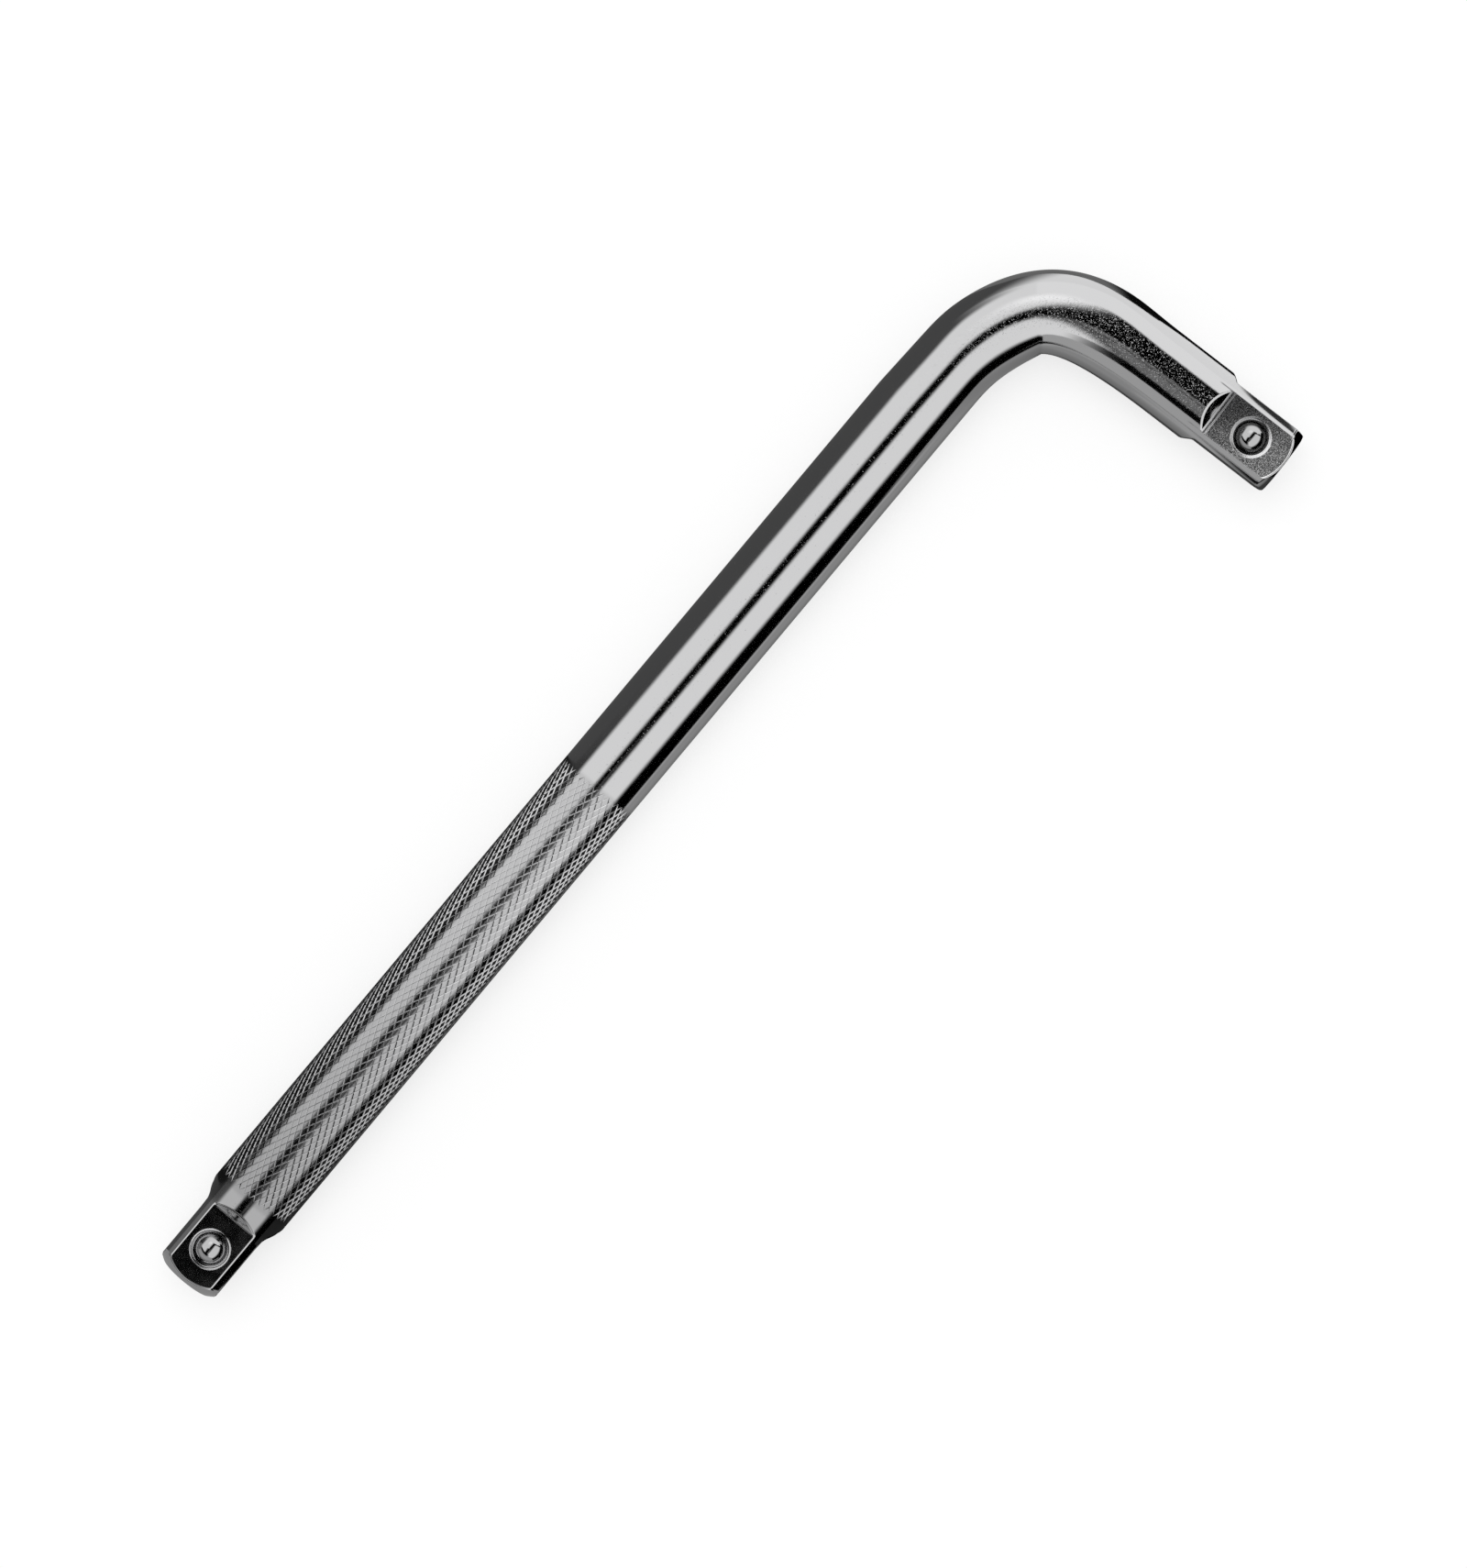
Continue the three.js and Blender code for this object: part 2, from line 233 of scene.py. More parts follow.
class Path:
    """Joined stretches of points, read by their share of the whole length."""

    def __init__(self, *stretches):
        self.points = np.vstack(stretches)
        steps = np.linalg.norm(np.diff(self.points, axis=0), axis=1)
        self.reach = np.concatenate([[0], np.cumsum(steps)])
        self.length = self.reach[-1]

    def at(self, share, soft=0):
        """The point at a share of the way, or the mean of the points within soft of it."""
        along = share * self.length
        half = min(soft, along, self.length - along)
        window = np.linspace(along - half, along + half, AVERAGE_STEPS)
        return np.array([np.interp(window, self.reach, self.points[:, axis]).mean() for axis in (0, 1)])


def bend_plan():
    """The outer side, the soft inner side, the creased inner side and the crease's share of it."""
    knee = beside_long(OUTER_START, LONG_RADIUS - OUTER_START_INSET)
    outer_to = beside_short(OUTER_END, SHORT_HALF_WIDTH)
    outer_end_angle = TURN_ANGLE - OUTER_END_ANGLE
    outer = Path(
        beside_long(BEND_LEAD_IN, LONG_RADIUS),
        curve(knee, OUTER_START_ANGLE, OUTER_START_HANDLE, outer_to, outer_end_angle, OUTER_END_HANDLE),
        beside_short(INNER_END, SHORT_HALF_WIDTH),
    )
    lead_in = beside_long(BEND_LEAD_IN, -LONG_RADIUS)
    start = beside_long(INNER_START, -LONG_RADIUS)
    end = beside_short(INNER_END, -SHORT_HALF_WIDTH)
    crease = np.array([CREASE_ACROSS, -CREASE_BACK])
    before = curve(start, 0, INNER_START_HANDLE, crease, CREASE_BEFORE_ANGLE, CREASE_BEFORE_HANDLE)
    after = curve(crease, CREASE_AFTER_ANGLE, CREASE_AFTER_HANDLE, end, TURN_ANGLE, INNER_END_HANDLE)
    start_handle = (INNER_START - SHORT_HALF_WIDTH) * SOFT_INNER_HANDLE_SHARE
    end_handle = (INNER_END - LONG_RADIUS) * SOFT_INNER_HANDLE_SHARE
    soft = curve(start, 0, start_handle, end, TURN_ANGLE, end_handle)
    creased = Path(lead_in, before, after)
    return outer, Path(lead_in, soft), creased, Path(lead_in, before).length / creased.length


# Skin of the bar. A ring starts at the outer side and goes over the top to the inner side.


class Skin:
    """Points and faces that are added ring by ring."""

    def __init__(self):
        self.points = []
        self.faces = []

    def ring(self, points):
        start = len(self.points)
        self.points.extend(tuple(point) for point in points)
        return list(range(start, start + len(points)))

    def join(self, rings):
        """Four-sided faces between each ring and the next, with as many points in each."""
        count = len(rings[0])
        for ring, following in zip(rings, rings[1:]):
            for side in range(count):
                ahead = (side + 1) % count
                self.faces.append((ring[side], ring[ahead], following[ahead], following[side]))

    def cap(self, ring, centre, facing_on):
        """Closes a ring with a fan of faces."""
        middle = self.ring([centre])[0]
        for side in range(len(ring)):
            near, far = ring[side], ring[(side + 1) % len(ring)]
            self.faces.append((near, far, middle) if facing_on else (far, near, middle))

    def stitch(self, ring, turns, following, following_turns):
        """Three-sided faces between two rings whose points stand at other turns."""
        here, there = 0, 0
        turns = [*turns, turns[0] + FULL_TURN]
        following_turns = [*following_turns, following_turns[0] + FULL_TURN]
        while here < len(ring) or there < len(following):
            step_here = there == len(following)
            if here < len(ring) and not step_here:
                step_here = turns[here + 1] <= following_turns[there + 1]
            near = ring[here % len(ring)]
            far = following[there % len(following)]
            if step_here:
                here += 1
                self.faces.append((near, ring[here % len(ring)], far))
            else:
                there += 1
                self.faces.append((near, following[there % len(following)], far))


def even_turns(count):
    return np.arange(count) * FULL_TURN / count


def section(beside, station, turns, reach):
    """Points round an arm at a station from the corner. beside is the arm's own plan function."""
    points = []
    for turn, out in zip(turns, np.broadcast_to(reach, len(turns))):
        x, y = beside(station, math.cos(turn) * out)
        points.append((x, y, math.sin(turn) * out))
    return points


def drive_plan(drive):
    """The plan function of a drive's arm, and how far its tip lies from the corner."""
    if drive is LONG_DRIVE:
        return beside_long, LONG_TIP_TO_CORNER
    return beside_short, SHORT_TIP_TO_CORNER


def section_reach(turn, half_width, half_height):
    """Distance from the axis to the bar's surface in one direction of its section."""
    across = half_height * math.cos(turn)
    upward = half_width * math.sin(turn)
    return half_width * half_height / math.hypot(across, upward)


def soft_least(first, second, width):
    """The lesser of two lengths, rounded where they are nearly alike."""
    overlap = max(width - abs(first - second), 0)
    return min(first, second) - overlap ** 2 / (4 * width)


# Where the columns of a drive stand, as distances from the edge between a flat and a round corner
EDGE_COLUMNS = (-0.45, -0.3, -0.2, -0.14, -0.1, -0.06, -0.03, 0, 0.03, 0.06, 0.1, 0.14, 0.2, 0.3)
FLAT_COLUMNS = 7
CORNER_COLUMNS = 6
WIDEST_TURN = 0.08


def drive_turns(half_width, half_height):
    """Turns of the columns, close together at the edges of the four flats."""
    turns = []
    for quarter in range(4):
        reach, other = (half_width, half_height) if quarter % 2 == 0 else (half_height, half_width)
        half_flat = other * math.sqrt(1 - (HALF_SQUARE / reach) ** 2)
        middle = quarter * math.pi / 2
        inner = half_flat + EDGE_COLUMNS[0]
        offsets = list(np.linspace(-inner, inner, 2 * FLAT_COLUMNS - 1)[1:-1])
        for side in (-1, 1):
            offsets += [side * (half_flat + column) for column in EDGE_COLUMNS]
        turns += [middle + math.atan2(offset, HALF_SQUARE) for offset in offsets]
    turns = sorted(turn % FULL_TURN for turn in turns)
    filled = []
    for turn, after in zip(turns, turns[1:] + [turns[0] + FULL_TURN]):
        steps = CORNER_COLUMNS + 1 if after - turn > WIDEST_TURN else 1
        filled += [turn + (after - turn) * step / steps for step in range(steps)]
    return sorted(turn % FULL_TURN for turn in filled)


# Points that a rounded corner and a stretch between two corners get
BREAK_ROWS = 9
BREAK_REACH_SHARE = 1.3
BREAK_MOST_SHARE = 0.45
STRETCH_ROWS = 5


def softened(points, corners, last):
    """Points along an outline. Its corners, each an index and how far the rounding reaches to each side,
    are rounded by a moving average. The last point lies as far past the last corner as last says."""
    points = np.array(points, float)
    reach = np.concatenate([[0], np.cumsum(np.linalg.norm(np.diff(points, axis=0), axis=1))])
    places = [reach[index] for index, _ in corners]
    ends = [0] + places + [places[-1] + last]
    rows = [0]
    for before, place, after, (_, soft) in zip(ends, places, ends[2:], corners):
        spread = soft * BREAK_REACH_SHARE
        start = place - min(spread, BREAK_MOST_SHARE * (place - before))
        end = place + min(spread, BREAK_MOST_SHARE * (after - place))
        if len(rows) > 1:
            rows += list(np.linspace(rows[-1], start, STRETCH_ROWS + 2)[1:-1])
        rows += list(np.linspace(start, end, BREAK_ROWS))
    rows.append(ends[-1])
    rows = np.array(rows)
    half = np.max([2 * soft - np.abs(rows - place) for place, (_, soft) in zip(places, corners)], axis=0)
    half = np.minimum(np.maximum(half, 0), rows)
    window = rows[:, None] + half[:, None] * np.linspace(-1, 1, AVERAGE_STEPS)
    return np.stack([np.interp(window, reach, points[:, axis]).mean(axis=1) for axis in (0, 1)], axis=1)


def drive_profile(drive, turn):
    """How far along and how far out one column of a drive runs, from its tip."""
    surface = section_reach(turn, drive["half_width"], drive["half_height"])
    quarter = round(turn / (math.pi / 2))
    slant = math.cos(turn - quarter * math.pi / 2)
    flat = soft_least(surface, HALF_SQUARE / slant, EDGE_SOFTNESS)
    side = "side" if quarter % 2 == 0 else "face"
    full = drive["half_width"] if side == "side" else drive["half_height"]
    run = {0: drive["outer_ramp_run"], 2: drive["inner_ramp_run"]}.get(quarter % 4, drive["face_ramp_run"])
    slope = run / (full - HALF_SQUARE)
    ramp = math.hypot(slope * (surface - flat) * slant, LEAST_RAMP)
    face = drive["tip_face_radius"]
    length, bulge = drive["tip_length"], drive["tip_bulge_share"]
    last_share = 1 - math.sqrt(1 - (flat - face) / (surface - face))
    points = [(0, face * TIP_FACE_START_SHARE), (0, face)]
    for step in range(1, TIP_STEPS + 1):
        share = last_share * step / TIP_STEPS
        along = 2 * share * (1 - share) * length * bulge + share ** 2 * length
        points.append((along, face + (surface - face) * (2 * share - share ** 2)))
    ramp_break = drive[f"{side}_ramp_break"]
    flat_end = drive["flat_length"]
    end = flat_end + max(drive["outer_ramp_run"], drive["inner_ramp_run"]) + BEYOND_RAMP
    points += [(flat_end, flat), (flat_end + ramp, surface), (end + 2 * ramp_break, surface)]
    corners = [
        (1, TIP_FACE_BREAK),
        (1 + TIP_STEPS, TIP_EDGE_BREAK),
        (2 + TIP_STEPS, FLAT_END_BREAK),
        (3 + TIP_STEPS, ramp_break),
    ]
    return softened(points, corners, end - flat_end - ramp)


def drive_rings(drive):
    """Turns of a drive's columns, and its rings from the tip on."""
    beside, tip = drive_plan(drive)
    turns = drive_turns(drive["half_width"], drive["half_height"])
    profiles = np.array([drive_profile(drive, turn) for turn in turns])
    rings = [
        [section(beside, tip - along, [turn], out)[0] for turn, (along, out) in zip(turns, row)]
        for row in profiles.swapaxes(0, 1)
    ]
    return turns, rings


def knurl(skin, first_ring):
    """Diamond knurl: cells with a groove from corner to corner, one way and then the other.
    Rings run from the drive's side of the grip to its other end, whose ring is returned."""
    columns = 2 * KNURL_STARTS
    pitch = FULL_TURN * LONG_RADIUS / KNURL_STARTS
    rows = 2 * round(GRIP_LENGTH / (pitch / math.tan(HELIX_ANGLE)))
    cell_turn = FULL_TURN / columns
    cell_length = GRIP_LENGTH / rows
    start = LONG_TIP_TO_CORNER - GRIP_START
    tilt = math.atan2(cell_turn * LONG_RADIUS, cell_length)
    across = GROOVE_WIDTH / 2 / math.cos(tilt) / LONG_RADIUS
    along = GROOVE_WIDTH / 2 / math.sin(tilt)
    turns = even_turns(columns)
    rings = [first_ring]
    round_points = {}
    along_points = {}
    for row in range(1, rows + 1):
        is_last = row == rows
        station = start - row * cell_length
        low = np.array([0 if is_last or (row + side) % 2 else GROOVE_DEPTH for side in range(columns)])
        rings.append(skin.ring(section(beside_long, station, turns, LONG_RADIUS - low)))
        for side in range(0 if is_last else columns):
            crossing_here = (row + side) % 2 == 0
            turn = turns[side] + (across if crossing_here else cell_turn - across)
            point = section(beside_long, station, [turn], LONG_RADIUS)
            round_points[row, side] = skin.ring(point)[0]
    for row in range(rows):
        for side in range(columns):
            crossing_above = (row + side) % 2 == 0
            crossing_row = row if crossing_above else row + 1
            if 0 < crossing_row < rows:
                shift = along if crossing_above else cell_length - along
                station = start - row * cell_length - shift
                point = section(beside_long, station, [turns[side]], LONG_RADIUS)
                along_points[row, side] = skin.ring(point)[0]
    for row in range(rows):
        for side in range(columns):
            ahead = (side + 1) % columns
            near_left, near_right = rings[row][side], rings[row][ahead]
            far_left, far_right = rings[row + 1][side], rings[row + 1][ahead]
            near, far = round_points.get((row, side)), round_points.get((row + 1, side))
            left, right = along_points.get((row, side)), along_points.get((row, ahead))
            mirrored = (row + side) % 2
            if mirrored:
                near_left, near_right = near_right, near_left
                far_left, far_right = far_right, far_left
                left, right = right, left
            for face in (
                (near_left, near, right, far_right),
                (near or near_left, near_right, right or far_right),
                (near_left, far_right, far, left),
                (left or near_left, far or far_right, far_left),
            ):
                first, *others = [corner for corner in face if corner is not None]
                if mirrored:
                    others.reverse()
                if len({first, *others}) > 2:
                    skin.faces.append((first, *others))
    return rings[-1]


def bend_rings(turns):
    outer, soft, creased, crease_share = bend_plan()
    rings = []
    for step in range(2 * BEND_RINGS_EACH_HALF + 1):
        half = step / BEND_RINGS_EACH_HALF
        if half < 1:
            share = crease_share * half
        else:
            share = crease_share + (1 - crease_share) * (half - 1)
        outer_point, inner_point = outer.at(share, OUTER_SOFTNESS), soft.at(share)
        pinch = creased.at(share) - inner_point
        middle = (outer_point + inner_point) / 2
        reach = (outer_point - inner_point) / 2
        height = LONG_RADIUS + (SHORT_HALF_HEIGHT - LONG_RADIUS) * share
        ring = []
        for turn in turns:
            inner_share = ((1 - math.cos(turn)) / 2) ** PINCH_FADE_POWER
            x, y = middle + reach * math.cos(turn) + pinch * inner_share
            ring.append((x, y, height * math.sin(turn)))
        rings.append(ring)
    return rings


def bar_skin():
    """The whole bar before its bores are cut."""
    skin = Skin()
    long_turns, rings = drive_rings(LONG_DRIVE)
    rings = [skin.ring(ring) for ring in rings]
    skin.cap(rings[0], (0, -LONG_TIP_TO_CORNER, 0), facing_on=False)
    skin.join(rings)

    knurl_turns = even_turns(2 * KNURL_STARTS)
    first = skin.ring(section(beside_long, LONG_TIP_TO_CORNER - GRIP_START, knurl_turns, LONG_RADIUS))
    skin.stitch(rings[-1], long_turns, first, knurl_turns)
    last = knurl(skin, first)

    turns = even_turns(BEND_COLUMNS)
    grip_end = LONG_TIP_TO_CORNER - GRIP_START - GRIP_LENGTH
    plain = skin.ring(section(beside_long, grip_end - GRIP_RUN_OUT, turns, LONG_RADIUS))
    skin.stitch(last, knurl_turns, plain, turns)
    bend = [plain] + [skin.ring(ring) for ring in bend_rings(turns)]
    skin.join(bend)

    short_turns, rings = drive_rings(SHORT_DRIVE)
    rings = [skin.ring(ring) for ring in reversed(rings)]
    skin.stitch(bend[-1], turns, rings[0], short_turns)
    skin.join(rings)
    skin.cap(rings[-1], (*beside_short(SHORT_TIP_TO_CORNER, 0), 0), facing_on=True)
    return skin


def mesh_object(name, skin):
    """An object with a skin, whose points are millimetres from the corner."""
    mesh = bpy.data.meshes.new(name)
    mesh.from_pydata([CORNER + Vector(point) * MM for point in skin.points], [], skin.faces)
    mesh.validate()
    return add_object(name, mesh)


def ball_centre(drive):
    """Where the axis of a drive's ball crosses the drive, in plan."""
    beside, tip = drive_plan(drive)
    return beside(tip - drive["ball_station"], 0)


def lathe(outline, columns, drive):
    """Turns an outline about the axis of a drive's ball. It has radii, and heights from the drive's face."""
    x, y = ball_centre(drive)
    skin = Skin()
    rings = []
    for radius, level in outline:
        rings.append(skin.ring([
            (x + math.cos(turn) * radius, y + math.sin(turn) * radius, HALF_SQUARE + level)
            for turn in even_turns(columns)
        ]))
    skin.join(rings)
    skin.cap(rings[0], (x, y, HALF_SQUARE + outline[0][1]), facing_on=False)
    skin.cap(rings[-1], (x, y, HALF_SQUARE + outline[-1][1]), facing_on=True)
    return skin


def bore_outline(drive):
    """The bore, the steep lip that is punched over its edge, and the low ring and groove round the lip."""
    ring = [
        (LIP_RADIUS, -LIP_DEPTH),
        (RING_CREST_START, -RING_CREST_DROP),
        (RING_CREST_END, -RING_CREST_DROP),
        (RING_GROOVE_RADIUS, -RING_CREST_DROP - RING_GROOVE_DEPTH),
        (RING_OUTER_RADIUS, 0),
        (RING_OUTER_RADIUS, CUT_OVERRUN),
    ]
    reach = drive["ring_break"]
    rounded = softened(ring, [(1, reach), (2, reach), (3, reach / 2)], reach)
    bore = [(BORE_RADIUS, -BORE_DEPTH), (BORE_RADIUS, -LIP_DEPTH - LIP_TAPER)]
    return [*bore, *rounded, *ring[-2:]]


def cut(piece, cutter):
    """Takes the cutter's shape out of a piece and deletes the cutter."""
    modifier = piece.modifiers.new("cut", "BOOLEAN")
    modifier.operation = "DIFFERENCE"
    modifier.solver = "EXACT"
    modifier.object = cutter
    bpy.context.view_layer.update()
    evaluated = piece.evaluated_get(bpy.context.evaluated_depsgraph_get())
    mesh = bpy.data.meshes.new_from_object(evaluated)
    piece.modifiers.clear()
    old = piece.data
    piece.data = mesh
    bpy.data.meshes.remove(old)
    bpy.data.objects.remove(cutter)


def shade_smooth(piece):
    piece.data.polygons.foreach_set("use_smooth", np.ones(len(piece.data.polygons), bool))


def read_values(items, name, width=1, kind=np.float32):
    """One value of each item of a mesh, or a row of them."""
    values = np.zeros(len(items) * width, kind)
    items.foreach_get(name, values)
    return values.reshape(-1, width) if width > 1 else values


# Normals of the bar
SHARP_ANGLE = math.radians(28)
ROUND_TOLERANCE = 0.004
ROUND_MARGIN = 0.5
LEAST_REACH = 1e-6
RADIAL_LEAN = math.cos(math.radians(25))


def shade_bar(piece):
    """Smooth faces with sharp creases. The round skin of the long arm, also between the knurl's grooves,
    gets true radial normals."""
    shade_smooth(piece)
    mesh = piece.data
    mesh.set_sharp_from_angle(angle=SHARP_ANGLE)
    normals = read_values(mesh.corner_normals, "vector", 3)
    face_normals = read_values(mesh.polygon_normals, "vector", 3)
    sides = read_values(mesh.polygons, "loop_total", kind=np.int32)
    vertices = read_values(mesh.loops, "vertex_index", kind=np.int32)
    places = (read_values(mesh.vertices, "co", 3)[vertices] - np.array(CORNER)) / MM
    radial = places * np.array([1, 0, 1])
    reach = np.linalg.norm(radial, axis=1)
    radial = radial / np.maximum(reach, LEAST_REACH)[:, None]
    on_arm = places[:, 1] < -BEND_LEAD_IN + ROUND_MARGIN
    past_drive = places[:, 1] > -LONG_TIP_TO_CORNER + GRIP_START - ROUND_MARGIN
    is_round = np.abs(reach - LONG_RADIUS) < ROUND_TOLERANCE
    facing = np.sum(radial * np.repeat(face_normals, sides, axis=0), axis=1) > RADIAL_LEAN
    chosen = on_arm & past_drive & is_round & facing
    normals[chosen] = radial[chosen]
    mesh.normals_split_custom_set(normals)


def chrome_bar():
    bar = mesh_object("chrome_bar", bar_skin())
    for drive in (LONG_DRIVE, SHORT_DRIVE):
        cut(bar, mesh_object("bore", lathe(bore_outline(drive), BORE_COLUMNS, drive)))
    shade_bar(bar)
    return bar


def detent_ball(name, drive):
    """A polished ball whose middle lies under the drive's face."""
    angles = np.linspace(0, math.pi, BALL_ROWS + 1)[1:-1]
    outline = [(math.sin(turn) * BALL_RADIUS, -math.cos(turn) * BALL_RADIUS - BALL_DEPTH) for turn in angles]
    skin = lathe(outline, 2 * BALL_ROWS, drive)
    for pole, side in ((-2, -1), (-1, 1)):
        x, y, _ = skin.points[pole]
        skin.points[pole] = (x, y, HALF_SQUARE - BALL_DEPTH + side * BALL_RADIUS)
    ball = mesh_object(name, skin)
    shade_smooth(ball)
    return ball


def coil_spring(name, drive):
    """The wire runs from the floor of the bore up to the ball, as in the solid."""
    x, y = ball_centre(drive)
    low = -BORE_DEPTH + SPRING_END_CLEARANCE + WIRE_RADIUS
    under_ball = math.sqrt((BALL_RADIUS + WIRE_RADIUS) ** 2 - SPRING_RADIUS ** 2)
    high = -BALL_DEPTH - under_ball - SPRING_END_CLEARANCE
    start_turn = 0 if drive is LONG_DRIVE else math.pi - TURN_ANGLE
    steps = round(SPRING_TURNS * STEPS_PER_TURN)
    skin = Skin()
    rings = []
    for step in range(steps + 1):
        turn = start_turn + step / STEPS_PER_TURN * FULL_TURN
        level = HALF_SQUARE + low + (high - low) * step / steps
        ring = []
        for around in -even_turns(WIRE_SIDES):
            reach = SPRING_RADIUS + WIRE_RADIUS * math.cos(around)
            rise = WIRE_RADIUS * math.sin(around)
            ring.append((x + math.cos(turn) * reach, y + math.sin(turn) * reach, level + rise))
        rings.append(skin.ring(ring))
    skin.join(rings)
    for ring, facing_on in ((rings[0], False), (rings[-1], True)):
        skin.cap(ring, np.mean([skin.points[index] for index in ring], axis=0), facing_on)
    spring = mesh_object(name, skin)
    shade_smooth(spring)
    spring.data.set_sharp_from_angle(angle=WIRE_SHARP_ANGLE)
    return spring


# Node helpers
GRAIN_ROUGHNESS = 0.6


def add_node(tree, kind, inputs, **settings):
    """A new node. An input is a number, a colour, another node's output or a field."""
    made = tree.nodes.new(kind)
    for setting, value in settings.items():
        setattr(made, setting, value)
    for name, value in inputs.items():
        if isinstance(value, Field):
            value = value.socket
        if isinstance(value, bpy.types.NodeSocket):
            tree.links.new(value, made.inputs[name])
        else:
            made.inputs[name].default_value = value
    return made


class Field:
    """What nodes work out at each place on a surface, with the usual signs for sums and products."""

    def __init__(self, tree, socket):
        self.tree = tree
        self.socket = socket

    def node(self, kind, inputs, output=0, **settings):
        return Field(self.tree, add_node(self.tree, kind, inputs, **settings).outputs[output])

    def maths(self, operation, *values):
        return self.node("ShaderNodeMath", dict(enumerate(values)), operation=operation)

    def __add__(self, other):
        return self.maths("ADD", self, other)

    __radd__ = __add__

    def __sub__(self, other):
        return self.maths("SUBTRACT", self, other)

    def __rsub__(self, other):
        return self.maths("SUBTRACT", other, self)

    def __mul__(self, other):
        return self.maths("MULTIPLY", self, other)

    def __truediv__(self, other):
        return self.maths("DIVIDE", self, other)

    def __abs__(self):
        return self.maths("ABSOLUTE", self)

    def most(self, other):
        return self.maths("MAXIMUM", self, other)

    def least(self, other):
        return self.maths("MINIMUM", self, other)

    def fade(self, start, end, low=0.0, high=1.0):
        """Goes smoothly from low, where this is at the start, to high at the end."""
        inputs = {"Value": self, "From Min": start, "From Max": end, "To Min": low, "To Max": high}
        return self.node("ShaderNodeMapRange", inputs, interpolation_type="SMOOTHSTEP")


def millimetres(tree):
    """The place on the piece in millimetres, whole and as x, y and z."""
    place = tree.nodes.new("ShaderNodeTexCoord").outputs["Object"]
    scaled = add_node(tree, "ShaderNodeVectorMath", {0: place, "Scale": 1 / MM}, operation="SCALE").outputs[0]
    split = add_node(tree, "ShaderNodeSeparateXYZ", {0: scaled})
    return [Field(tree, socket) for socket in (scaled, *split.outputs)]


def hypotenuse(first, second):
    squares = first.maths("POWER", first, 2) + second.maths("POWER", second, 2)
    return squares.maths("SQRT", squares)


def grain(place, per_mm, detail=2.0):
    """Cloudy noise from 0 to 1 with so many spots to the millimetre."""
    inputs = {"Vector": place, "Scale": per_mm, "Detail": detail, "Roughness": GRAIN_ROUGHNESS}
    return place.node("ShaderNodeTexNoise", inputs)


def specks(place, per_mm, start, full):
    """Small uneven specks, 1 inside. The noise goes from none of them at start to all at full."""
    return grain(place, per_mm).fade(start, full)


def blend(share, first, second, kind="MIX"):
    """A colour between two others."""
    inputs = {"Factor": share, 6: first, 7: second}
    return share.node("ShaderNodeMix", inputs, output=2, data_type="RGBA", blend_type=kind)


def weighted(value, areas, weights):
    """The value and, for each weight, that much of the area with its name."""
    for name, weight in weights.items():
        value = value + areas[name] * weight
    return value


def new_metal(name, colour, roughness):
    """A metal, its shader, and the place, x, y and z on its surface."""
    material = bpy.data.materials.new(name)
    material.use_nodes = True
    shader = material.node_tree.nodes["Principled BSDF"]
    shader.inputs["Base Color"].default_value = colour
    shader.inputs["Metallic"].default_value = 1
    shader.inputs["Roughness"].default_value = roughness
    return material, shader, *millimetres(material.node_tree)


def give_looks(shader, colour, roughness, height):
    """Links a metal's colour, roughness and bumps, whose height is in millimetres."""
    normal = height.node("ShaderNodeBump", {"Height": height, "Distance": MM})
    for name, value in (("Base Color", colour), ("Roughness", roughness), ("Normal", normal)):
        value.tree.links.new(value.socket, shader.inputs[name])


# Chrome of the bar. A range is where a look starts and where it is full, sometimes with the levels there.
FACE_LEVEL = LONG_RADIUS + HALF_SQUARE
TOP_LEVEL = 2 * LONG_RADIUS
TOP_Z = (TOP_LEVEL - 0.75, TOP_LEVEL - 0.375)
FORGED_Y = (84, 112)
FACE_DISTANCES = (0.12, 0.06)
SHORT_FACE_X = (14, 15)
LONG_FACE_Y = (-108, -109)
KNURL_START_Y = (-106.5, -105.5)
KNURL_END_Y = (-6.0, -7.0)
GROOVE_RADII = (LONG_RADIUS - 0.01, LONG_RADIUS - 0.04)
GRIP_DARKENING_Y = (-20, -115)
GRIP_DARKENING_END_Y = (-111, -109)
MARK_STATION = SHORT_TIP_TO_CORNER - SHORT_DRIVE["flat_length"] + 0.75
MARK_HALF_WIDTHS = (0.16, 0.04)
# Where the painted highlight on the short drive's face begins, and how it runs across the face
FACE_HIGHLIGHT_FROM_X = 25.0
FACE_HIGHLIGHT_FROM_Y = 118.0
FACE_HIGHLIGHT_SLOPE_SHARE = 0.8
FACE_HIGHLIGHT_DISTANCES = (8.0, -5.0)
CHROME = (0.62, 0.62, 0.625, 1)
CHROME_ROUGHNESS = 0.1
KNURL_TOP = (0.52, 0.52, 0.525, 1)
KNURL_GROOVE = (0.62, 0.62, 0.625, 1)
GRIP_DARKENING_COLOUR = (0.66, 0.66, 0.66, 1)
# Short drive's face: a painted dark reflection at its back and a painted highlight towards its tip
FACE_PAINTED_DARK = (0.26, 0.26, 0.265, 1)
FACE_PAINTED_HIGHLIGHT = (0.95, 0.95, 0.955, 1)

# Grain of the chrome. Specks are so many to the millimetre, and start and are full at those levels of noise.
FORGE_SPECKS = (4.2, 0.6, 0.74)
FORGE_SPECKS_END_Y = (ARM_Y + 4.4, ARM_Y + 2.9)
FACE_SPECKS = (4.6, 0.5, 0.7)
FEW_SPECKS = (3.0, 0.67, 0.8)
LONG_SPECKS = (3.6, 0.7, 0.84)
DENTS_PER_MM = 1.1
FINE_PER_MM = 3.0
FINE_DETAIL = 3.0
CLOUDS_PER_MM = 0.35
CLOUD_ROUGHNESS = (0.3, 0.7, 0.07, 0.1)
ROUGHENING = {"short_face": 0.1, "knurled": 0.03, "specks": 0.12, "face_specks": 0.1, "long_specks": 0.08}
LEAST_DEPTH = 0.0008
GRAIN_DEPTHS = {"forged_top": 0.006, "short_face": 0.01, "long_face": 0.0015, "knurled": 0.001}
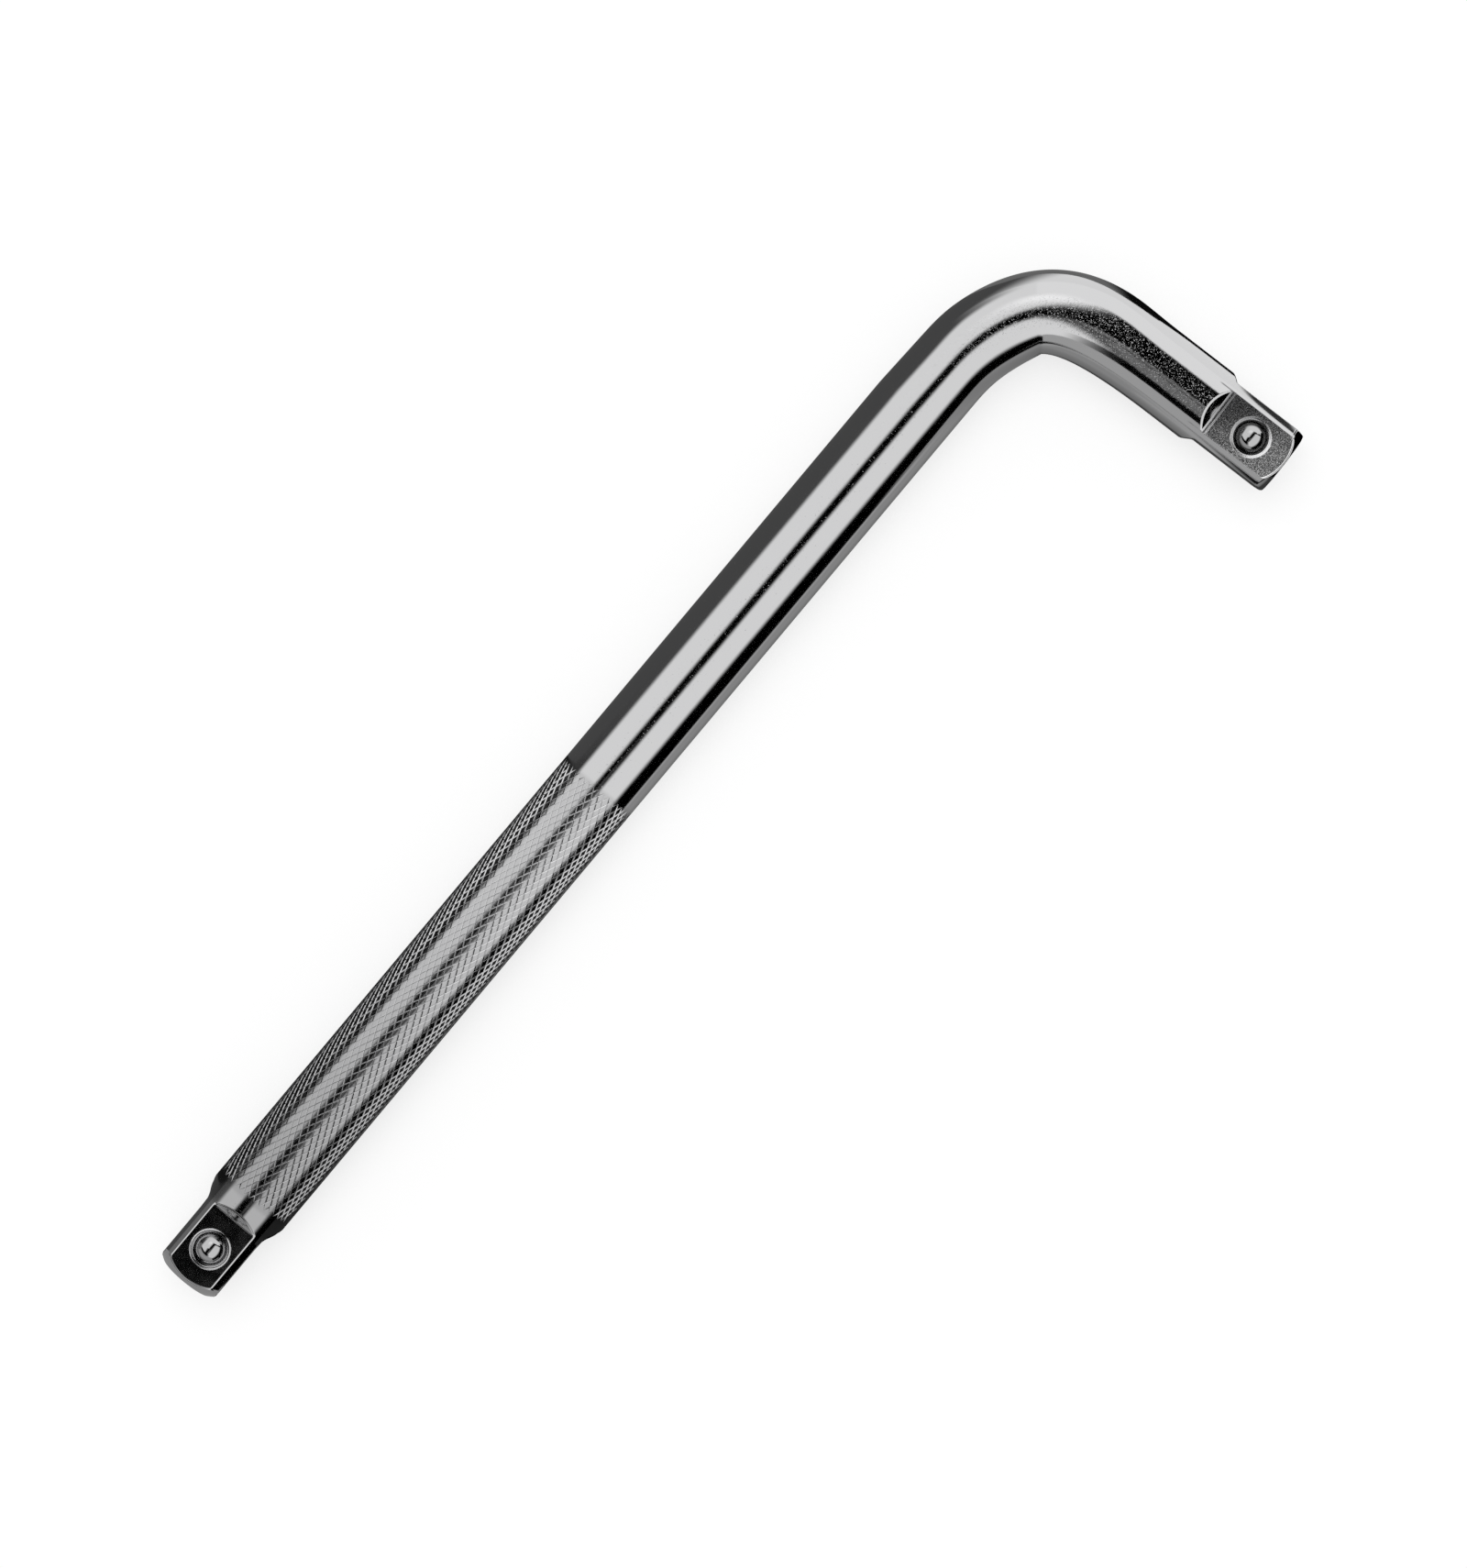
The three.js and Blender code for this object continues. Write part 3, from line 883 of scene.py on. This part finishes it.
HEIGHTS = {"dents": 0.01, "specks": -0.014, "face_specks": -0.006, "long_specks": -0.005, "mark": -0.03}


def cutter_mark(x, y):
    """A line across the short drive, just inside the end of its flat."""
    station = (x - CORNER.x / MM) * SHORT_HEADING[0] + (y - CORNER.y / MM) * SHORT_HEADING[1]
    return abs(station - MARK_STATION).fade(*MARK_HALF_WIDTHS)


def chrome_material():
    """Bright plate, grainy where the bar was forged and on the drives, duller towards the long drive.
    The tops of the knurl are dull and its grooves bright. The short drive's face has a painted reflection,
    dark towards its back, with a painted highlight towards its tip."""
    material, shader, place, x, y, z = new_metal("bar_chrome", CHROME, CHROME_ROUGHNESS)
    top = z.fade(*TOP_Z)
    forged_top = y.fade(*FORGED_Y) * top
    on_face = abs(z - FACE_LEVEL).fade(*FACE_DISTANCES)
    short_face = on_face * x.fade(*SHORT_FACE_X)
    long_face = on_face * y.fade(*LONG_FACE_Y)
    knurled = y.fade(*KNURL_START_Y) * y.fade(*KNURL_END_Y)
    in_groove = hypotenuse(x - CORNER.x / MM, z - LONG_RADIUS).fade(*GROOVE_RADII) * knurled
    forge_specks = specks(place, *FORGE_SPECKS) * forged_top * y.fade(*FORGE_SPECKS_END_Y)
    areas = {
        "forged_top": forged_top,
        "short_face": short_face,
        "long_face": long_face,
        "knurled": knurled,
        "dents": grain(place, DENTS_PER_MM) * forged_top,
        "specks": forge_specks.most(specks(place, *FEW_SPECKS) * top),
        "face_specks": specks(place, *FACE_SPECKS) * short_face,
        "long_specks": specks(place, *LONG_SPECKS) * long_face,
        "mark": short_face * cutter_mark(x, y),
    }

    colour = blend(knurled, CHROME, KNURL_TOP)
    colour = blend(in_groove, colour, KNURL_GROOVE)
    # The grip's colour gets darker towards the long drive
    colour = blend(y.fade(*GRIP_DARKENING_Y) * y.fade(*GRIP_DARKENING_END_Y), colour, GRIP_DARKENING_COLOUR, "MULTIPLY")
    # The short drive's face is painted dark towards its back, with a painted highlight towards its tip
    toward_face_highlight = (y - FACE_HIGHLIGHT_FROM_Y) - (x - FACE_HIGHLIGHT_FROM_X) * FACE_HIGHLIGHT_SLOPE_SHARE
    colour = blend(short_face, colour, blend(toward_face_highlight.fade(*FACE_HIGHLIGHT_DISTANCES), FACE_PAINTED_DARK, FACE_PAINTED_HIGHLIGHT))
    roughness = weighted(grain(place, CLOUDS_PER_MM).fade(*CLOUD_ROUGHNESS), areas, ROUGHENING)
    depth = weighted(LEAST_DEPTH, areas, GRAIN_DEPTHS)
    height = weighted(grain(place, FINE_PER_MM, FINE_DETAIL) * depth, areas, HEIGHTS)
    give_looks(shader, colour, roughness, height)
    return material


# Steel of the balls and springs
# Painted shade low on the balls, round their rims by the drive's face
RIM_SHADE_Z = (FACE_LEVEL + 0.75, FACE_LEVEL + 0.3)
RIM_SHADE_Y = (-60, 60, 0.25, 1.0)
RIM_SHADE_ROUGHNESS = 0.15
BALL_STEEL = (0.6, 0.6, 0.605, 1)
BALL_UPPER = (0.52, 0.52, 0.525, 1)
BALL_PAINTED_SHADE = (0.1, 0.1, 0.1, 1)
BALL_ROUGHNESS = 0.06
SCUFFS_PER_MM = 2.2
SCUFF_DETAIL = 4.0
SCUFF_ROUGHNESS = (0.35, 0.7, 0.05, 0.13)
BALL_GRAIN_PER_MM = 6.0
BALL_GRAIN_DEPTH = 0.0006
WIRE_STEEL = (0.45, 0.44, 0.43, 1)
WIRE_STAINED = (0.28, 0.26, 0.24, 1)
WIRE_ROUGHNESS = 0.35
STAINS_PER_MM = 0.9
STAIN_DETAIL = 3.0
STAIN_NOISE = (0.4, 0.7)
STAIN_ROUGHNESS = (0.3, 0.7, 0.28, 0.5)
WIRE_GRAIN_PER_MM = 9.0
WIRE_GRAIN_DEPTH = 0.002


def ball_material():
    """Hard polished steel with faint scuffs, and painted shade low on the ball round its rim, by the drive's
    face, where it is also rougher. The long arm's ball has less of it."""
    material, shader, place, _, y, z = new_metal("ball_steel", BALL_STEEL, BALL_ROUGHNESS)
    # Painted shade round the lower rim of the ball, near the drive's face, with more roughness there
    rim_shade = z.fade(*RIM_SHADE_Z) * y.fade(*RIM_SHADE_Y)
    roughness = grain(place, SCUFFS_PER_MM, SCUFF_DETAIL).fade(*SCUFF_ROUGHNESS) + rim_shade * RIM_SHADE_ROUGHNESS
    height = grain(place, BALL_GRAIN_PER_MM) * BALL_GRAIN_DEPTH
    give_looks(shader, blend(rim_shade, BALL_UPPER, BALL_PAINTED_SHADE), roughness, height)
    return material


def spring_material():
    """Drawn wire, darker where its oil has dried."""
    material, shader, place, *_ = new_metal("spring_steel", WIRE_STEEL, WIRE_ROUGHNESS)
    stain = grain(place, STAINS_PER_MM, STAIN_DETAIL)
    colour = blend(stain.fade(*STAIN_NOISE), WIRE_STEEL, WIRE_STAINED)
    height = grain(place, WIRE_GRAIN_PER_MM) * WIRE_GRAIN_DEPTH
    give_looks(shader, colour, stain.fade(*STAIN_ROUGHNESS), height)
    return material


def dress(piece, body, node, material):
    piece.data.materials.clear()
    piece.data.materials.append(material)
    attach(piece, body)
    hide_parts(node)


# Studio
WHITE = (1, 1, 1, 1)
WORLD_LIGHT = 0.75
FLOOR_HALF = 6000
FLOOR_LEVEL = -0.02
FLOOR_COLOUR = (0.95, 0.95, 0.95, 1)
FLOOR_WHITE_SHARE = 0.72
LAMP_PLACE = (-600, 500, 2200)
LAMP_SIZE = 1800
LAMP_POWER = 26


def backdrop_share(tree, share):
    """A factor that is the share for rays from the camera, from metal and through glass."""
    outputs = tree.nodes.new("ShaderNodeLightPath").outputs
    names = ("Is Camera Ray", "Is Glossy Ray", "Is Transmission Ray")
    camera, glossy, transmission = [Field(tree, outputs[name]) for name in names]
    return (camera + glossy + transmission).least(1.0) * share


def mix_shaders(tree, share, first, second):
    inputs = {0: share, 1: first.outputs[0], 2: second.outputs[0]}
    return add_node(tree, "ShaderNodeMixShader", inputs).outputs[0]


def make_world():
    world = bpy.data.worlds.new("studio")
    bpy.context.scene.world = world
    world.use_nodes = True
    tree = world.node_tree
    light = tree.nodes["Background"]
    light.inputs["Color"].default_value = WHITE
    light.inputs["Strength"].default_value = WORLD_LIGHT
    seen = add_node(tree, "ShaderNodeBackground", {"Color": WHITE, "Strength": 1.0})
    mixed = mix_shaders(tree, backdrop_share(tree, 1.0), light, seen)
    tree.links.new(mixed, tree.nodes["World Output"].inputs["Surface"])


def bare_material(name):
    material = bpy.data.materials.new(name)
    material.use_nodes = True
    tree = material.node_tree
    tree.nodes.remove(tree.nodes["Principled BSDF"])
    return material, tree, tree.nodes["Material Output"].inputs["Surface"]


def flat_sheet(name, corners):
    mesh = bpy.data.meshes.new(name)
    mesh.from_pydata([Vector(corner) * MM for corner in corners], [], [tuple(range(len(corners)))])
    sheet = add_object(name, mesh)
    return sheet


def lying(level, *corners):
    return [(x, y, level) for x, y in corners]


def lying_box(level, left, front, right, back):
    return lying(level, (left, front), (right, front), (right, back), (left, back))


def standing(start, end, low, high):
    """Corners of an upright sheet between two places on the table."""
    return [(*start, low), (*end, low), (*end, high), (*start, high)]


def make_floor():
    floor = flat_sheet("floor", lying_box(FLOOR_LEVEL, -FLOOR_HALF, -FLOOR_HALF, FLOOR_HALF, FLOOR_HALF))
    material, tree, surface = bare_material("floor_white")
    matt = add_node(tree, "ShaderNodeBsdfDiffuse", {"Color": FLOOR_COLOUR})
    white = add_node(tree, "ShaderNodeEmission", {"Strength": 1.0})
    tree.links.new(mix_shaders(tree, backdrop_share(tree, FLOOR_WHITE_SHARE), matt, white), surface)
    floor.data.materials.append(material)


def make_lamp():
    """One large soft lamp overhead, for the floor's soft shadow."""
    lamp = add_object("soft_lamp", bpy.data.lights.new("soft_lamp", "AREA"))
    lamp.data.shape = "SQUARE"
    lamp.data.size = LAMP_SIZE * MM
    lamp.data.energy = LAMP_POWER
    lamp.location = Vector(LAMP_PLACE) * MM
    lamp.rotation_euler = (-lamp.location).to_track_quat("-Z", "Y").to_euler()
    lamp.visible_glossy = False


def studio_card(name, corners, level, cover=None):
    """A plain card that only shows in the metal. Its level is a number, or a function of the place's x, y
    and z. The cover is such a function too: how much of the card there is, so that its edges can be soft."""
    card = flat_sheet(name, corners)
    material, tree, surface = bare_material(name)
    if callable(level):
        level = level(millimetres(tree)[1:])
    glow = add_node(tree, "ShaderNodeEmission", {"Strength": level})
    shader = glow.outputs[0]
    if cover:
        clear = add_node(tree, "ShaderNodeBsdfTransparent", {})
        shader = mix_shaders(tree, cover(millimetres(tree)[1:]), clear, glow)
    tree.links.new(shader, surface)
    material.cycles.emission_sampling = "NONE"
    card.data.materials.append(material)
    card.visible_camera = False
    card.visible_diffuse = False
    card.visible_transmission = False
    card.visible_shadow = False
    card.visible_volume_scatter = False


# Studio cards overhead and as walls. Angles are from straight up, and shares are their tangents.
OVERHEAD = 2000
OVERHEAD_GAP = 10
WALL = 2500
WALL_FOOT = -1
SLIT_SIDE = 45
SLIT_FRONT = -60
SLIT_BACK = 54
SLIT_LEAN = 1.2
SLIT_HALF_SHARE = 0.19
SLIT_WIDENING_SHARE = 0.03
SLIT_SOFT_SHARE = 0.1
SLIT_BACK_SHARES = (1.26, 1.0)
SLIT_FRONT_SHARES = (-0.06, -0.2)
FRONT_SHIFT_SHARE = 0.07
FRONT_WIDENING_SHARE = 0.09
GREY_LEVEL = 0.22
GREY_BACK_SHARES = (-0.05, -0.1)
GREY_FRONT_SHARES = (-0.9, -0.82)
GREY_LEFT_SHARES = (-0.008, 0.02)
GREY_RIGHT_SHARES = (0.12, 0.07)
BLACK_BACK_SHARES = (-0.204, -0.212)
BLACK_FRONT_SHARES = (-0.25, -0.235)
SOFT_BOX_LEVEL = 1.35
SOFT_BOX_REACH_SHARE = 1.5
SOFT_BOX_LEFT_SHARE = 0.6
SOFT_BOX_BACK_SHARE = 0.75
SOFT_BOX_SIZE_SHARE = 0.6
FRONT_GAP_START = -42
FRONT_GAP_CARD_START = -39
FRONT_GAP_END = -59
FRONT_GAP_LEFT = -66
FRONT_GAP_RIGHT = 62
FRONT_GAP_SOFT_SHARE = 0.02
FRONT_GAP_TURN_SHARES = (0.6, 0.12)
LEAST_AHEAD_SHARE = 0.1
BALL_HOOK_SHARES = ((0.08, 0.78), (1.63, 1.75), (3.4, 3.65), (0.08, 1.2))
LEFT_WALL_TOP = 73
LEFT_WALL_SOFT_TOP = 59
LEFT_WALL_FALL_SHARE = 0.3
LEFT_WALL_BACK_Y = (0.95 * WALL, 0.2 * WALL)
LEFT_WALL_LEVEL = 0.2
LEFT_LEVEL = 0.084
RIGHT_WALL_TOP = 71
RIGHT_WALL_SOFT_TOP = 57
FRONT_WALL_TOP = 58.5
FRONT_WALL_LEVEL = 0.48
BACK_WALL_TOP = 40
BACK_WALL_FULL = 52
BACK_WALL_LEVEL = 1.08
BACK_WALL_RIGHT_SHARE = 0.5

# Shades of the table. A range is where a shade starts and where it is full, sometimes with the levels there.
CARD_LEVEL = -0.01
LAYER = 0.001
FRONT_TABLE_LEVEL = 0.33
GRIP_MIRROR_START = -490
GRIP_MIRROR_END = -172
GRIP_LEVEL = 0.015
GRIP_FLAG_X = -10
GRIP_FLAG_FRONT = -113
GRIP_FLAG_BACK = -8.6
GRIP_FLAG_HEIGHT = 13.5
GRIP_FLAG_LEVEL = 0.03
DRIVE_FRONT = -127
DRIVE_SIDE = 8
TABLE_FRONT = DRIVE_FRONT - 0.25 * WALL
TABLE_BACK = 2 * WALL
LEFT_TABLE_EDGE = -10.0
LEFT_TABLE_SHARES = (0.2, 1.05, LEFT_LEVEL, 1.0)
LEFT_TABLE = (
    (-WALL, TABLE_FRONT), (ARM_X, DRIVE_FRONT), (ARM_X, ARM_Y - 10), (-8, ARM_Y + 2),
    (-8, TABLE_BACK), (-WALL, TABLE_BACK),
)
INNER_TABLE_START = (44, -132)
TABLE_SEAM = ((44, 55), (90, 90), (60, ARM_Y - 8), (34, ARM_Y))
RIGHT_TABLE_FAR = ((WALL, TABLE_FRONT), (WALL, TABLE_BACK), (0.3 * WALL, TABLE_BACK), (36, ARM_Y + 44))
# Painted contact shadow on the inner table, beside and under the arms
BY_LONG_ARM = (2, 22, 0.1, 0.34)
OFF_LONG_ARM = (28, 50, 0, 0.12)
BY_SHORT_ARM = (-6, 58, 0.13, 0.48)
UNDER_SHORT_ARM = (10, 14.5, 0.3, 1.0)
CORNER_X = (-4, 12)
CORNER_Y = (45, 75)
CORNER_LEVEL = 0.5
FRONT_X = (30, 24)
FRONT_Y = (-113, -100)
FAR_ASIDE_X = (2, 14)
BEHIND_DRIVE_Y = (-118, -72)
LIT_X = (37, 24)
LIT_Y = (60, 88)
BESIDE_GRIP_Y = (-25, -50)
RIGHT_TABLE_LEVEL = 0.38
RIGHT_TABLE_FRONT_Y = (-108, -96)
RIGHT_TABLE_X = (170, 120)
DRIVE_SHADE = ((12, 138), (36, 138), (58, 620), (30, 620))
DRIVE_SHADE_LEVEL = 0.04
DRIVE_SHADE_X = 24.0
DRIVE_SHADE_Y = 143.0
DRIVE_SHADE_TURN_SHARE = 0.05
DRIVE_SHADE_HALF_WIDTHS = (7.8, 4.2)
DRIVE_SHADE_START_Y = (140, 147)


def lean(angle):
    return OVERHEAD * math.tan(math.radians(angle))


def wall_height(angle):
    return WALL / math.tan(math.radians(angle))


def overhead_shares(at):
    """A place overhead as tangents of the angle from straight up, across and along the long arm."""
    x, y, _ = at
    return (x - (ARM_X + lean(SLIT_LEAN))) / OVERHEAD, y / OVERHEAD


def slit_level(at):
    """Black, with a grey part in front and to the right, but for the bit over the long arm's unknurled end.
    """
    across, along = overhead_shares(at)
    black = along.fade(*BLACK_BACK_SHARES) * along.fade(*BLACK_FRONT_SHARES)
    grey = along.fade(*GREY_BACK_SHARES) * across.fade(*GREY_LEFT_SHARES) * (1.0 - black)
    return grey * along.fade(*GREY_FRONT_SHARES) * across.fade(*GREY_RIGHT_SHARES) * GREY_LEVEL


def slit_cover(at):
    """A soft-edged band along the long arm, wider and further to the left in front."""
    across, along = overhead_shares(at)
    in_front = along.fade(*SLIT_FRONT_SHARES)
    half = SLIT_HALF_SHARE + along * SLIT_WIDENING_SHARE + in_front * FRONT_WIDENING_SHARE
    past = abs(across + in_front * FRONT_SHIFT_SHARE) - half
    return past.fade(SLIT_SOFT_SHARE, -SLIT_SOFT_SHARE) * along.fade(*SLIT_BACK_SHARES)


def soft_box_cover(at):
    """Round, with a soft rim."""
    across, along = overhead_shares(at)
    off = hypotenuse(across + SOFT_BOX_LEFT_SHARE, along - SOFT_BOX_BACK_SHARE)
    return off.fade(SOFT_BOX_SIZE_SHARE, 0.0)


def front_gap_cover(at):
    """The gap fades away in directions that turn to the right."""
    across, along = overhead_shares(at)
    front = math.tan(math.radians(FRONT_GAP_START))
    turned = across / (along * -1.0).most(LEAST_AHEAD_SHARE)
    begun = along.fade(front + FRONT_GAP_SOFT_SHARE, front - FRONT_GAP_SOFT_SHARE)
    return begun * turned.fade(*FRONT_GAP_TURN_SHARES)


def left_wall_cover(at):
    """The wall's soft top comes down towards the back, where the wall fades away."""
    _, y, z = at
    fall = (y - ARM_Y).most(0.0) * LEFT_WALL_FALL_SHARE
    below = (z + fall).fade(wall_height(LEFT_WALL_SOFT_TOP), wall_height(LEFT_WALL_TOP))
    return below * y.fade(*LEFT_WALL_BACK_Y)


def right_wall_cover(at):
    """A soft top."""
    return at[2].fade(wall_height(RIGHT_WALL_SOFT_TOP), wall_height(RIGHT_WALL_TOP))


def back_wall_cover(at):
    """A soft top."""
    return at[2].fade(wall_height(BACK_WALL_TOP), wall_height(BACK_WALL_FULL))


def left_table_level(at):
    """Dark table to the left, paler and paler in directions that turn to the back."""
    x, y, _ = at
    return ((y - ARM_Y) / (LEFT_TABLE_EDGE - x).most(1.0)).fade(*LEFT_TABLE_SHARES)


def inner_table_level(at):
    """Pale table inside the L, with a painted contact shadow that darkens it towards both arms, dark to its
    right and beside the long drive.
    """
    x, y, _ = at
    off_long_arm = x - ARM_X
    off_short_arm = ARM_Y - y
    in_corner = y.fade(*CORNER_Y) * x.fade(*CORNER_X) * CORNER_LEVEL
    # Painted contact shadow by the long arm, and by and under the short arm
    by_long_arm = (off_long_arm.fade(*BY_LONG_ARM) + off_long_arm.fade(*OFF_LONG_ARM)).most(in_corner)
    by_short_arm = off_short_arm.fade(*BY_SHORT_ARM) * off_short_arm.fade(*UNDER_SHORT_ARM)
    far_aside = y.fade(*FRONT_Y).most(x.fade(*FRONT_X)) * x.fade(*FAR_ASIDE_X)
    behind_drive = y.fade(*BEHIND_DRIVE_Y).most(far_aside)
    beside_handle = x.fade(*LIT_X).most(y.fade(*BESIDE_GRIP_Y)) * behind_drive
    return by_long_arm.least(by_short_arm) * beside_handle.most(y.fade(*LIT_Y))


def right_table_level(at):
    """Dark table to the right, pale beside the grip."""
    x, y, _ = at
    pale = y.fade(*BESIDE_GRIP_Y, 0, RIGHT_TABLE_LEVEL) * y.fade(*RIGHT_TABLE_FRONT_Y)
    return pale * x.fade(*RIGHT_TABLE_X)


def drive_shade_cover(at):
    """A soft band that runs away from the outer side of the short drive."""
    x, y, _ = at
    middle = DRIVE_SHADE_X + (y - DRIVE_SHADE_Y) * DRIVE_SHADE_TURN_SHARE
    return abs(x - middle).fade(*DRIVE_SHADE_HALF_WIDTHS) * y.fade(*DRIVE_SHADE_START_Y)


def make_overhead_cards():
    side = lean(SLIT_SIDE)
    slit = lying_box(OVERHEAD, -side, lean(SLIT_FRONT), side, lean(SLIT_BACK))
    studio_card("overhead_slit", slit, slit_level, slit_cover)
    reach = SOFT_BOX_REACH_SHARE * OVERHEAD
    box = lying_box(OVERHEAD + OVERHEAD_GAP, -reach, 0, 0, reach)
    studio_card("soft_box", box, SOFT_BOX_LEVEL, soft_box_cover)
    left, right = lean(FRONT_GAP_LEFT), lean(FRONT_GAP_RIGHT)
    gap = lying_box(OVERHEAD - OVERHEAD_GAP, left, lean(FRONT_GAP_END), right, lean(FRONT_GAP_CARD_START))
    studio_card("front_gap", gap, 0.0, front_gap_cover)
    hook = [(x * OVERHEAD, y * OVERHEAD) for x, y in BALL_HOOK_SHARES]
    studio_card("ball_hook", lying(OVERHEAD - 2 * OVERHEAD_GAP, *hook), 0.0)


def make_walls():
    back = WALL + ARM_Y
    for name, start, end, top, level, cover in (
        ("left_wall_front", (-WALL, -2 * WALL), (-WALL, GRIP_MIRROR_START), LEFT_WALL_SOFT_TOP,
         LEFT_WALL_LEVEL, left_wall_cover),
        ("left_wall_grip", (-WALL, GRIP_MIRROR_START), (-WALL, GRIP_MIRROR_END), LEFT_WALL_SOFT_TOP,
         GRIP_LEVEL, left_wall_cover),
        ("left_wall_back", (-WALL, GRIP_MIRROR_END), (-WALL, WALL), LEFT_WALL_SOFT_TOP,
         LEFT_LEVEL, left_wall_cover),
        ("right_wall", (WALL, -2 * WALL), (WALL, 2 * WALL), RIGHT_WALL_SOFT_TOP, 0.0, right_wall_cover),
        ("front_wall", (-WALL, -WALL), (WALL, -WALL), FRONT_WALL_TOP, FRONT_WALL_LEVEL, None),
        ("back_wall", (-WALL, back), (BACK_WALL_RIGHT_SHARE * WALL, back), BACK_WALL_TOP,
         BACK_WALL_LEVEL, back_wall_cover),
    ):
        studio_card(name, standing(start, end, WALL_FOOT, wall_height(top)), level, cover)


def make_table_cards():
    studio_card("front_table", lying_box(CARD_LEVEL, -WALL, -WALL, WALL, 0), FRONT_TABLE_LEVEL)
    above = CARD_LEVEL + 2 * LAYER
    studio_card("left_table", lying(above, *LEFT_TABLE), left_table_level)
    near_grip = (ARM_X, KNURL_START_Y[0]), (ARM_X, KNURL_END_Y[0])
    mirrored = (-WALL, GRIP_MIRROR_START), *near_grip, (-WALL, GRIP_MIRROR_END)
    studio_card("left_table_grip", lying(CARD_LEVEL + 4 * LAYER, *mirrored), GRIP_LEVEL)
    drive_side = (ARM_X, DRIVE_FRONT), (ARM_X + DRIVE_SIDE, DRIVE_FRONT)
    inner = lying(above, *drive_side, INNER_TABLE_START, *TABLE_SEAM, (ARM_X, ARM_Y))
    studio_card("inner_table", inner, inner_table_level)
    right = lying(above, INNER_TABLE_START, *RIGHT_TABLE_FAR, *reversed(TABLE_SEAM))
    studio_card("right_table", right, right_table_level)
    flag = standing((GRIP_FLAG_X, GRIP_FLAG_FRONT), (GRIP_FLAG_X, GRIP_FLAG_BACK), 0, GRIP_FLAG_HEIGHT)
    studio_card("grip_flag", flag, GRIP_FLAG_LEVEL)
    shade = lying(CARD_LEVEL + 6 * LAYER, *DRIVE_SHADE)
    studio_card("drive_shade", shade, DRIVE_SHADE_LEVEL, drive_shade_cover)


# Strip on the table along the outer side of the bend and the short arm, grey and then dark
STRIP_FROM_SHARE = 0.3
STRIP_START_SHARE = 0.12
STRIP_START_WIDTH = 14
STRIP_LENS_SHARE = 0.77
STRIP_LENS_WIDTH = 28
STRIP_LENS_LENGTH_SHARE = 0.1
STRIP_LEAST_WIDTH = 8.5
STRIP_INSET = 3
STRIP_POINTS = 40
STRIP_STEP_SHARE = 0.01
STRIP_X = (-17, -9, 0.18, 0.004)


def strip_level(at):
    return at[0].fade(*STRIP_X)


def make_strip():
    outer = bend_plan()[0]
    near, far = [], []
    for share in np.linspace(STRIP_FROM_SHARE, 1, STRIP_POINTS):
        here = outer.at(share)
        heading = outer.at(min(share + STRIP_STEP_SHARE, 1)) - outer.at(share - STRIP_STEP_SHARE)
        outward = np.array([-heading[1], heading[0]]) / np.linalg.norm(heading)
        bulge = math.exp(-((share - STRIP_LENS_SHARE) / STRIP_LENS_LENGTH_SHARE) ** 2)
        before_lens = min(max((STRIP_LENS_SHARE - share) / STRIP_LENS_LENGTH_SHARE, 0), 1)
        least = STRIP_LEAST_WIDTH + (STRIP_START_WIDTH - STRIP_LEAST_WIDTH) * before_lens
        begun = min((share - STRIP_FROM_SHARE) / STRIP_START_SHARE, 1)
        near.append(here - outward * STRIP_INSET)
        far.append(here + outward * (least + (STRIP_LENS_WIDTH - least) * bulge) * begun)
    near.append(beside_short(SHORT_TIP_TO_CORNER, SHORT_HALF_WIDTH - STRIP_INSET))
    far.append(beside_short(SHORT_TIP_TO_CORNER, SHORT_HALF_WIDTH + STRIP_LEAST_WIDTH))
    corners = [(CORNER / MM + Vector((*point, 0))).xy for point in near + far[::-1]]
    studio_card("shade_strip", lying(CARD_LEVEL + 5 * LAYER, *corners), strip_level)


make_camera()
dress(chrome_bar(), "handle", "l_handle_bar", chrome_material())

steel = ball_material()
wire = spring_material()
for end, drive in (("long", LONG_DRIVE), ("short", SHORT_DRIVE)):
    ball = detent_ball(f"{end}_detent_ball", drive)
    dress(ball, f"{end}_ball", f"{end}_drive_ball", steel)
    spring = coil_spring(f"{end}_coil_spring", drive)
    dress(spring, "handle", f"{end}_drive_spring", wire)
    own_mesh(spring)

make_world()
make_floor()
make_overhead_cards()
make_walls()
make_table_cards()
make_strip()
make_lamp()
bpy.context.scene.view_settings.view_transform = "Standard"
